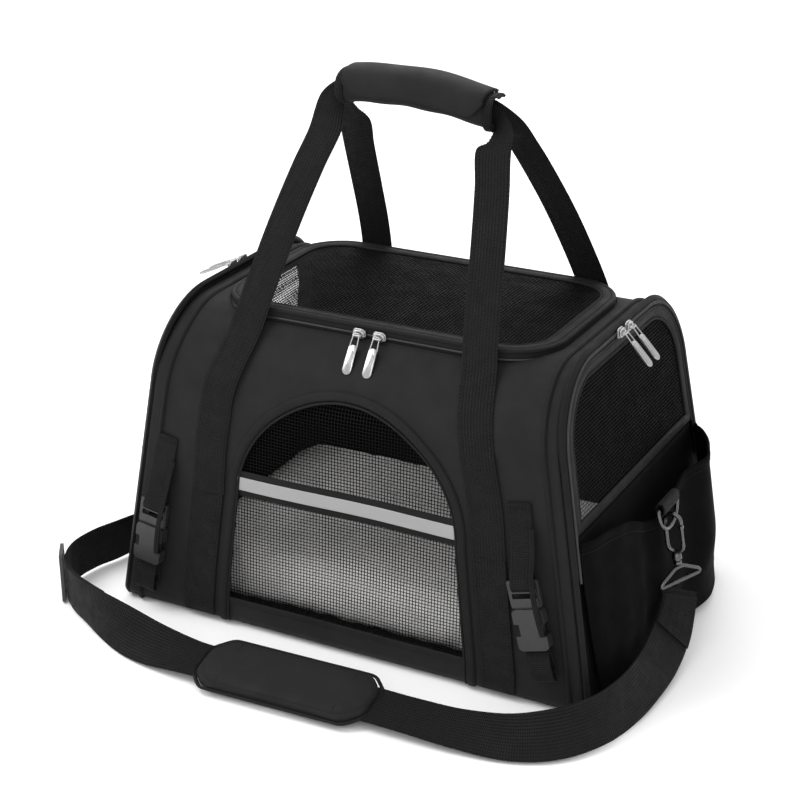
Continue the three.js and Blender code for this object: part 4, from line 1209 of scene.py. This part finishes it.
def pull_form(place):
    form = Form()
    bail = np.column_stack([rounded([(-0.0024, -0.0017), (0.0024, -0.0017), (0.0034, 0.0112), (-0.0034, 0.0112)],
                                    0.0012, 6), np.zeros(24)])
    out = place([(0, 0, 1)])[0] - place([(0, 0, 0)])[0]
    wire(form, place(resample(bail, 0.0006, True)), 0.0006, out, loop=True)
    plate = np.vstack([arc((0, 0.0281), (0.0041, 0.0041), 0, 180, 18),
                       arc((0, 0.0100), (0.0037, 0.0024), 180, 360, 14)])
    form.slab(plate, -0.0009, 0.0009, 0.00035, place)
    ridge = np.vstack([arc((0, 0.0268), (0.0025, 0.0025), 0, 180, 14),
                       arc((0, 0.0140), (0.0023, 0.0018), 180, 360, 10)])
    form.slab(ridge, 0.0008, 0.00125, 0.0002, place)
    form.slab(ridge, -0.00125, -0.0008, 0.0002, place)
    return form


def add_slider(slider, pull, origin, right, up, out, swing):
    place = in_frame(origin, right, up, out)
    body = slider_form(place).build(f"{slider}_body", ZIP_SILVER, 50)
    settle(body, slider, [slider])
    tab = pull_form(swung(place, swing)).build(f"{pull}_tab", ZIP_SILVER, 50)
    settle(tab, pull, [pull])


def add_sliders():
    for name, side in SIDES.items():
        add_slider(f"top_{name}_slider", f"top_{name}_pull", (0.009 * side, LID_FRONT - 0.0008, 0.264),
                   (-1, 0, 0), (0, 0, -1), (0, -1, 0), math.radians(34))
        height = RIM_TOP - 0.0045
        x = side * (half_length(height) + RIM_OUT + 0.002)
        swing = math.radians({"left": 66, "right": 42}[name])
        for place, y in (("front", -0.008), ("rear", 0.008)):
            add_slider(f"{name}_{place}_slider", f"{name}_{place}_pull", (x, y, height),
                       (0, -side, 0), (0, 0, -1), (side, 0, 0), swing)


# ------------------------------------------------------------ rings, hooks and strap eyes
HANGER_Y = -0.006
HOOK_NEAR, HOOK_FAR, HOOK_FOOT, HOOK_TOP = 0.0242, 0.0412, 0.082, 0.119
HOOK_WIRE = 0.0036
EYE_TURN = -0.467


def hanger(side):
    """Across, up and out on an end, at the hanger's own place."""
    norm = math.hypot(1, END_LEAN)

    def place(points):
        across, up, out = np.asarray(points, float).T
        x = END_HALF + (out - END_LEAN * up) / norm
        return np.stack([side * x, HANGER_Y + across, (up + END_LEAN * out) / norm], 1)
    return place


def lathe(form, profile, place, count=20):
    """Rings of a turned piece: (radius, up) rows about an axis set by place."""
    angle = np.linspace(0, 2 * math.pi, count, endpoint=False)
    rings = [np.column_stack([r * np.cos(angle), np.full(count, up), r * np.sin(angle)]) for r, up in profile]
    points = np.stack([place(ring) for ring in rings])
    ids = form.grid(points, np.linspace(0, 0.01, len(profile)), np.linspace(0, 0.02, count + 1), tube=True)
    form.cap(ids[0], np.zeros((count, 2)))
    form.cap(ids[-1][::-1], np.zeros((count, 2)))


def add_hanger(name, side):
    place = hanger(side)
    facing = (side, 0, 0)
    top, bend = 0.1269, arc((0, 0.1239), (0.0203, 0.0176), 180, 360, 26)
    ring_path = resample(np.vstack([[(0.0203, top), (-0.0203, top)], bend]), 0.0012, True)
    ring = Form()
    wire(ring, place(np.column_stack([ring_path, np.full(len(ring_path), 0.030)])), 0.0017, facing, True, 10)
    settle(ring.build(f"{name}_ring_wire", HOOK_BLACK, 180), "root", [f"{name}_d_ring"])

    tab = Form()
    loop = np.array([(0.1200, 0.0268), (0.1300, 0.0272), (0.1318, 0.0296), (0.1312, 0.0326), (0.1270, 0.0334),
                     (0.1235, 0.0326), (0.1210, 0.0300), (0.1195, 0.0285)])
    curve = spline(loop, 8)
    centres = place(np.column_stack([np.zeros(len(curve)), curve]))
    along = tangents(centres)
    sides = np.broadcast_to(np.array([0.0, 1.0, 0.0]), centres.shape)
    tab.sweep((centres, sides, unit(np.cross(sides, along))), band_section(0.0335, 0.0016, 0.35))
    settle(tab.build(f"{name}_ring_webbing", WEBBING_BLACK), "root", [f"{name}_ring_tab"])

    middle = (HOOK_NEAR + HOOK_FAR) / 2
    inset = HOOK_WIRE / 2
    near, far, low, high = HOOK_NEAR + inset, HOOK_FAR - inset, HOOK_FOOT + inset, HOOK_TOP - inset
    bend = (far - near) / 2
    shank = np.vstack([[(0.1086, far)], arc((high - bend, middle), (bend, bend), 90, -90, 16),
                       arc((low + bend, middle), (bend, bend), 270, 90, 16), [(0.0893, far)]])
    hook = Form()
    body = resample(shank, 0.0012)
    wire(hook, place(np.column_stack([np.zeros(len(body)), body])), inset, (0, 1, 0), False, 12)
    turned = lambda points: place(points + (0, 0, middle))
    lathe(hook, [(0.0026, 0.0730), (0.0036, 0.0736), (0.0036, 0.0758), (0.0026, 0.0764), (0.0026, 0.0772),
                 (0.0042, 0.0780), (0.0040, 0.0812), (0.0030, 0.0830), (0.0016, 0.0838)], turned)
    settle(hook.build(f"{name}_hook_body", HOOK_BLACK, 50), "root", [f"{name}_snap_hook"])
    gate = Form()
    gate_line = resample([(0, 0.0902, far), (0, 0.1078, far)], 0.0015)
    wire(gate, place(gate_line), 0.0014, (0, 1, 0), False, 12)
    lathe(gate, [(0.0008, 0.1040), (0.0021, 0.1046), (0.0021, 0.1072), (0.0008, 0.1078)],
          lambda points: place(points + (0, 0, far)), 12)
    settle(gate.build(f"{name}_gate_bar", HOOK_BLACK, 50), f"{name}_hook_gate", [f"{name}_hook_gate"])

    c, s = math.cos(EYE_TURN), math.sin(EYE_TURN)
    shape = resample(rounded([(-0.0216, 0.0588), (0.0216, 0.0588), (0.0200, 0.0620), (0.0040, 0.0707),
                              (-0.0040, 0.0707), (-0.0200, 0.0620)], 0.0020), 0.0012, True)
    flat = np.column_stack([shape[:, 0] * c, shape[:, 1], -shape[:, 0] * s + middle + 0.001])
    eye = Form()
    wire(eye, place(flat), 0.0017, np.array([side * c, s, 0]), True, 10)
    settle(eye.build(f"{name}_eye_wire", HOOK_BLACK, 180), "root", [f"{name}_strap_eye"])


# ------------------------------------------------------------ stuffed pieces
def swell(piece, voxel, most, frames=20, pressure=4.0):
    """Remeshes a piece evenly and blows it up as cloth under pressure, no point moving further than most."""
    remesh = piece.modifiers.new("even", "REMESH")
    remesh.mode = "VOXEL"
    remesh.voxel_size = voxel
    graph = bpy.context.evaluated_depsgraph_get()
    even = bpy.data.meshes.new_from_object(piece.evaluated_get(graph))
    piece.modifiers.clear()
    material = piece.data.materials[0]
    piece.data = even
    even.materials.clear()
    even.materials.append(material)
    start = np.array([v.co for v in even.vertices])
    cloth = piece.modifiers.new("cloth", "CLOTH")
    cloth.settings.use_pressure = True
    cloth.settings.uniform_pressure_force = pressure
    cloth.settings.effector_weights.gravity = 0
    cloth.point_cache.frame_end = frames
    for number in range(1, frames + 1):
        bpy.context.scene.frame_set(number)
    graph = bpy.context.evaluated_depsgraph_get()
    blown = bpy.data.meshes.new_from_object(piece.evaluated_get(graph))
    end = np.array([v.co for v in blown.vertices])
    piece.modifiers.clear()
    moved = end - start
    far = np.linalg.norm(moved, axis=1, keepdims=True)
    kept = start + moved * np.minimum(1, most / np.maximum(far, 1e-9))
    even.vertices.foreach_set("co", kept.astype(np.float32).ravel())
    bpy.context.scene.frame_set(1)
    even.shade_smooth()
    piece.modifiers.new("smooth", "SUBSURF").levels = 1
    piece.modifiers["smooth"].render_levels = 1
    return piece


def box_form(half_x, half_y, low, high, taper=0.0):
    form = Form()
    outline = rounded([(-half_x, -half_y), (half_x, -half_y), (half_x, half_y), (-half_x, half_y)], 0.02, 6)
    rings = [(0.90, low), (1.0, low + 0.010), (1.0 - taper, high - 0.010), (0.90 - taper, high)]
    points = np.stack([np.column_stack([outline * gain, np.full(len(outline), z)]) for gain, z in rings])
    ids = form.grid(points, np.arange(4) * 0.02, np.linspace(0, 1, len(outline) + 1), tube=True)
    form.cap(ids[0], np.zeros((len(outline), 2)))
    form.cap(ids[-1][::-1], np.zeros((len(outline), 2)))
    return form


def add_fleece():
    mat_low, mat_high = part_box("fleece_mat")
    form = box_form(mat_high.x - 0.008, mat_high.y - 0.007, mat_low.z + 0.004, mat_high.z - 0.004, 0.03)
    mat = swell(form.build("fleece_cushion", FLEECE_WHITE), 0.006, 0.005, pressure=3.0)
    pile = bpy.data.textures.new("pile", "CLOUDS")
    pile.noise_scale = 0.012
    fuzz = mat.modifiers.new("pile", "DISPLACE")
    fuzz.texture = pile
    fuzz.strength = 0.0035
    fuzz.mid_level = 0.6
    settle(mat, "root", ["fleece_mat"])


PAD_MIDDLE, PAD_HALF, PAD_TILT = -0.010, 0.078, 0.227
PAD_HALF_WIDTH = 0.029


def pad_place(points):
    """The shoulder pad's own frame: along, across and out."""
    along, across, out = np.asarray(points, float).T
    c, s = math.cos(PAD_TILT), math.sin(PAD_TILT)
    y = across * c - out * s
    z = across * s + out * c
    return np.stack([along + PAD_MIDDLE, y - 0.2149 + 0.03 * along, z + 0.0123], 1)


def pad_outline(inset, step=0.003):
    half, wide, cut = PAD_HALF - inset, PAD_HALF_WIDTH - inset, 0.014
    corners = [(-half, -wide + cut), (-half + cut, -wide), (half - cut, -wide), (half, -wide + cut),
               (half, wide - cut), (half - cut, wide), (-half + cut, wide), (-half, wide - cut)]
    return resample(rounded(corners, 0.005, 5), step, True)


def add_pad():
    form = Form()
    outline = pad_outline(0.0012)
    form.slab(outline, -0.0050, 0.0050, 0.0028, lambda p: pad_place(p.reshape(-1, 3)).reshape(p.shape))
    pad = swell(form.build("shoulder_pad_cushion", FABRIC_BLACK), 0.004, 0.0012, pressure=2.0)
    settle(pad, "root", ["shoulder_pad"])
    edge = pad_outline(0.0)
    up = pad_place([(0, 0, 1)])[0] - pad_place([(0, 0, 0)])[0]
    flat = lambda line, out: pad_place(np.column_stack([line, np.full(len(line), out)]))
    piping = Form().sweep(carried(flat(edge, 0.0), up, True), band_section(0.0030, 0.0034, 0.45), loop=True)
    settle(piping.build("shoulder_pad_piping", BINDING_BLACK, 60), "root")
    thread = Form()
    inner = pad_outline(0.0052)
    thread.stitches(carried(flat(np.vstack([inner, inner[:1]]), 0.0056), up))
    for at in (-0.052, 0.052):
        across = np.column_stack([np.full(16, at), np.linspace(-0.023, 0.023, 16)])
        thread.stitches(carried(flat(across, 0.0060), up))
    settle(thread.build("shoulder_pad_stitching", THREAD_BLACK), "root")


# ------------------------------------------------------------ floor and light
def add_floor():
    form = Form()
    at = np.array([[(-6, -6, 0), (6, -6, 0)], [(-6, 6, 0), (6, 6, 0)]], float)
    form.grid(at, [-6, 6], [-6, 6])
    pale = Finish("floor_white", (0.95, 0.95, 0.95), 0.9, specular=0.1)
    pale.mottle(3, 0.004)
    floor = form.build("floor", pale.material)
    floor.location.z = -0.0004


def add_light(name, at, target, size, power):
    light = bpy.data.lights.new(name, "AREA")
    light.energy = power
    light.size = size
    made = bpy.data.objects.new(name, light)
    made.location = at
    made.rotation_euler = (Vector(target) - Vector(at)).to_track_quat("-Z", "Y").to_euler()
    bpy.context.scene.collection.objects.link(made)


def add_lights():
    world = bpy.data.worlds.new("studio")
    bpy.context.scene.world = world
    world.use_nodes = True
    background = world.node_tree.nodes["Background"]
    background.inputs["Color"].default_value = (1, 1, 1, 1)
    background.inputs["Strength"].default_value = 1.0
    add_light("key", (-1.2, -0.7, 1.9), (0, 0, 0.1), 1.2, 26)
    add_light("back", (-0.4, 1.6, 1.6), (0, 0, 0.15), 1.4, 16)
    add_light("front", (0.9, -1.8, 1.3), (0, 0, 0.15), 1.6, 10)
    bpy.context.scene.view_settings.view_transform = "Standard"


# ------------------------------------------------------------ assembly
add_body()
add_gusset_piping()
add_window()
add_reflective_strip()
for side_name, sign in SIDES.items():
    add_end(side_name, sign)
    add_pocket(side_name, sign)
    add_buckle(side_name)
    add_hanger(side_name, sign)
    for place_name, face_sign in FACES.items():
        add_sewn_strap(place_name, side_name, sign)
    for node_name in (f"{side_name}_buckle_socket", f"{side_name}_buckle_plug"):
        finish_node(node_name, BUCKLE_BLACK, 0.0006)
add_lid()
for place_name in FACES:
    add_handle(place_name)
add_grip()
add_sliders()
finish_node("tri_glide", BUCKLE_BLACK, 0.0007)
finish_node("base_board", BOARD_GREY, 0.0008)
add_fleece()
add_pad()
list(strap_trim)
add_floor()
add_lights()
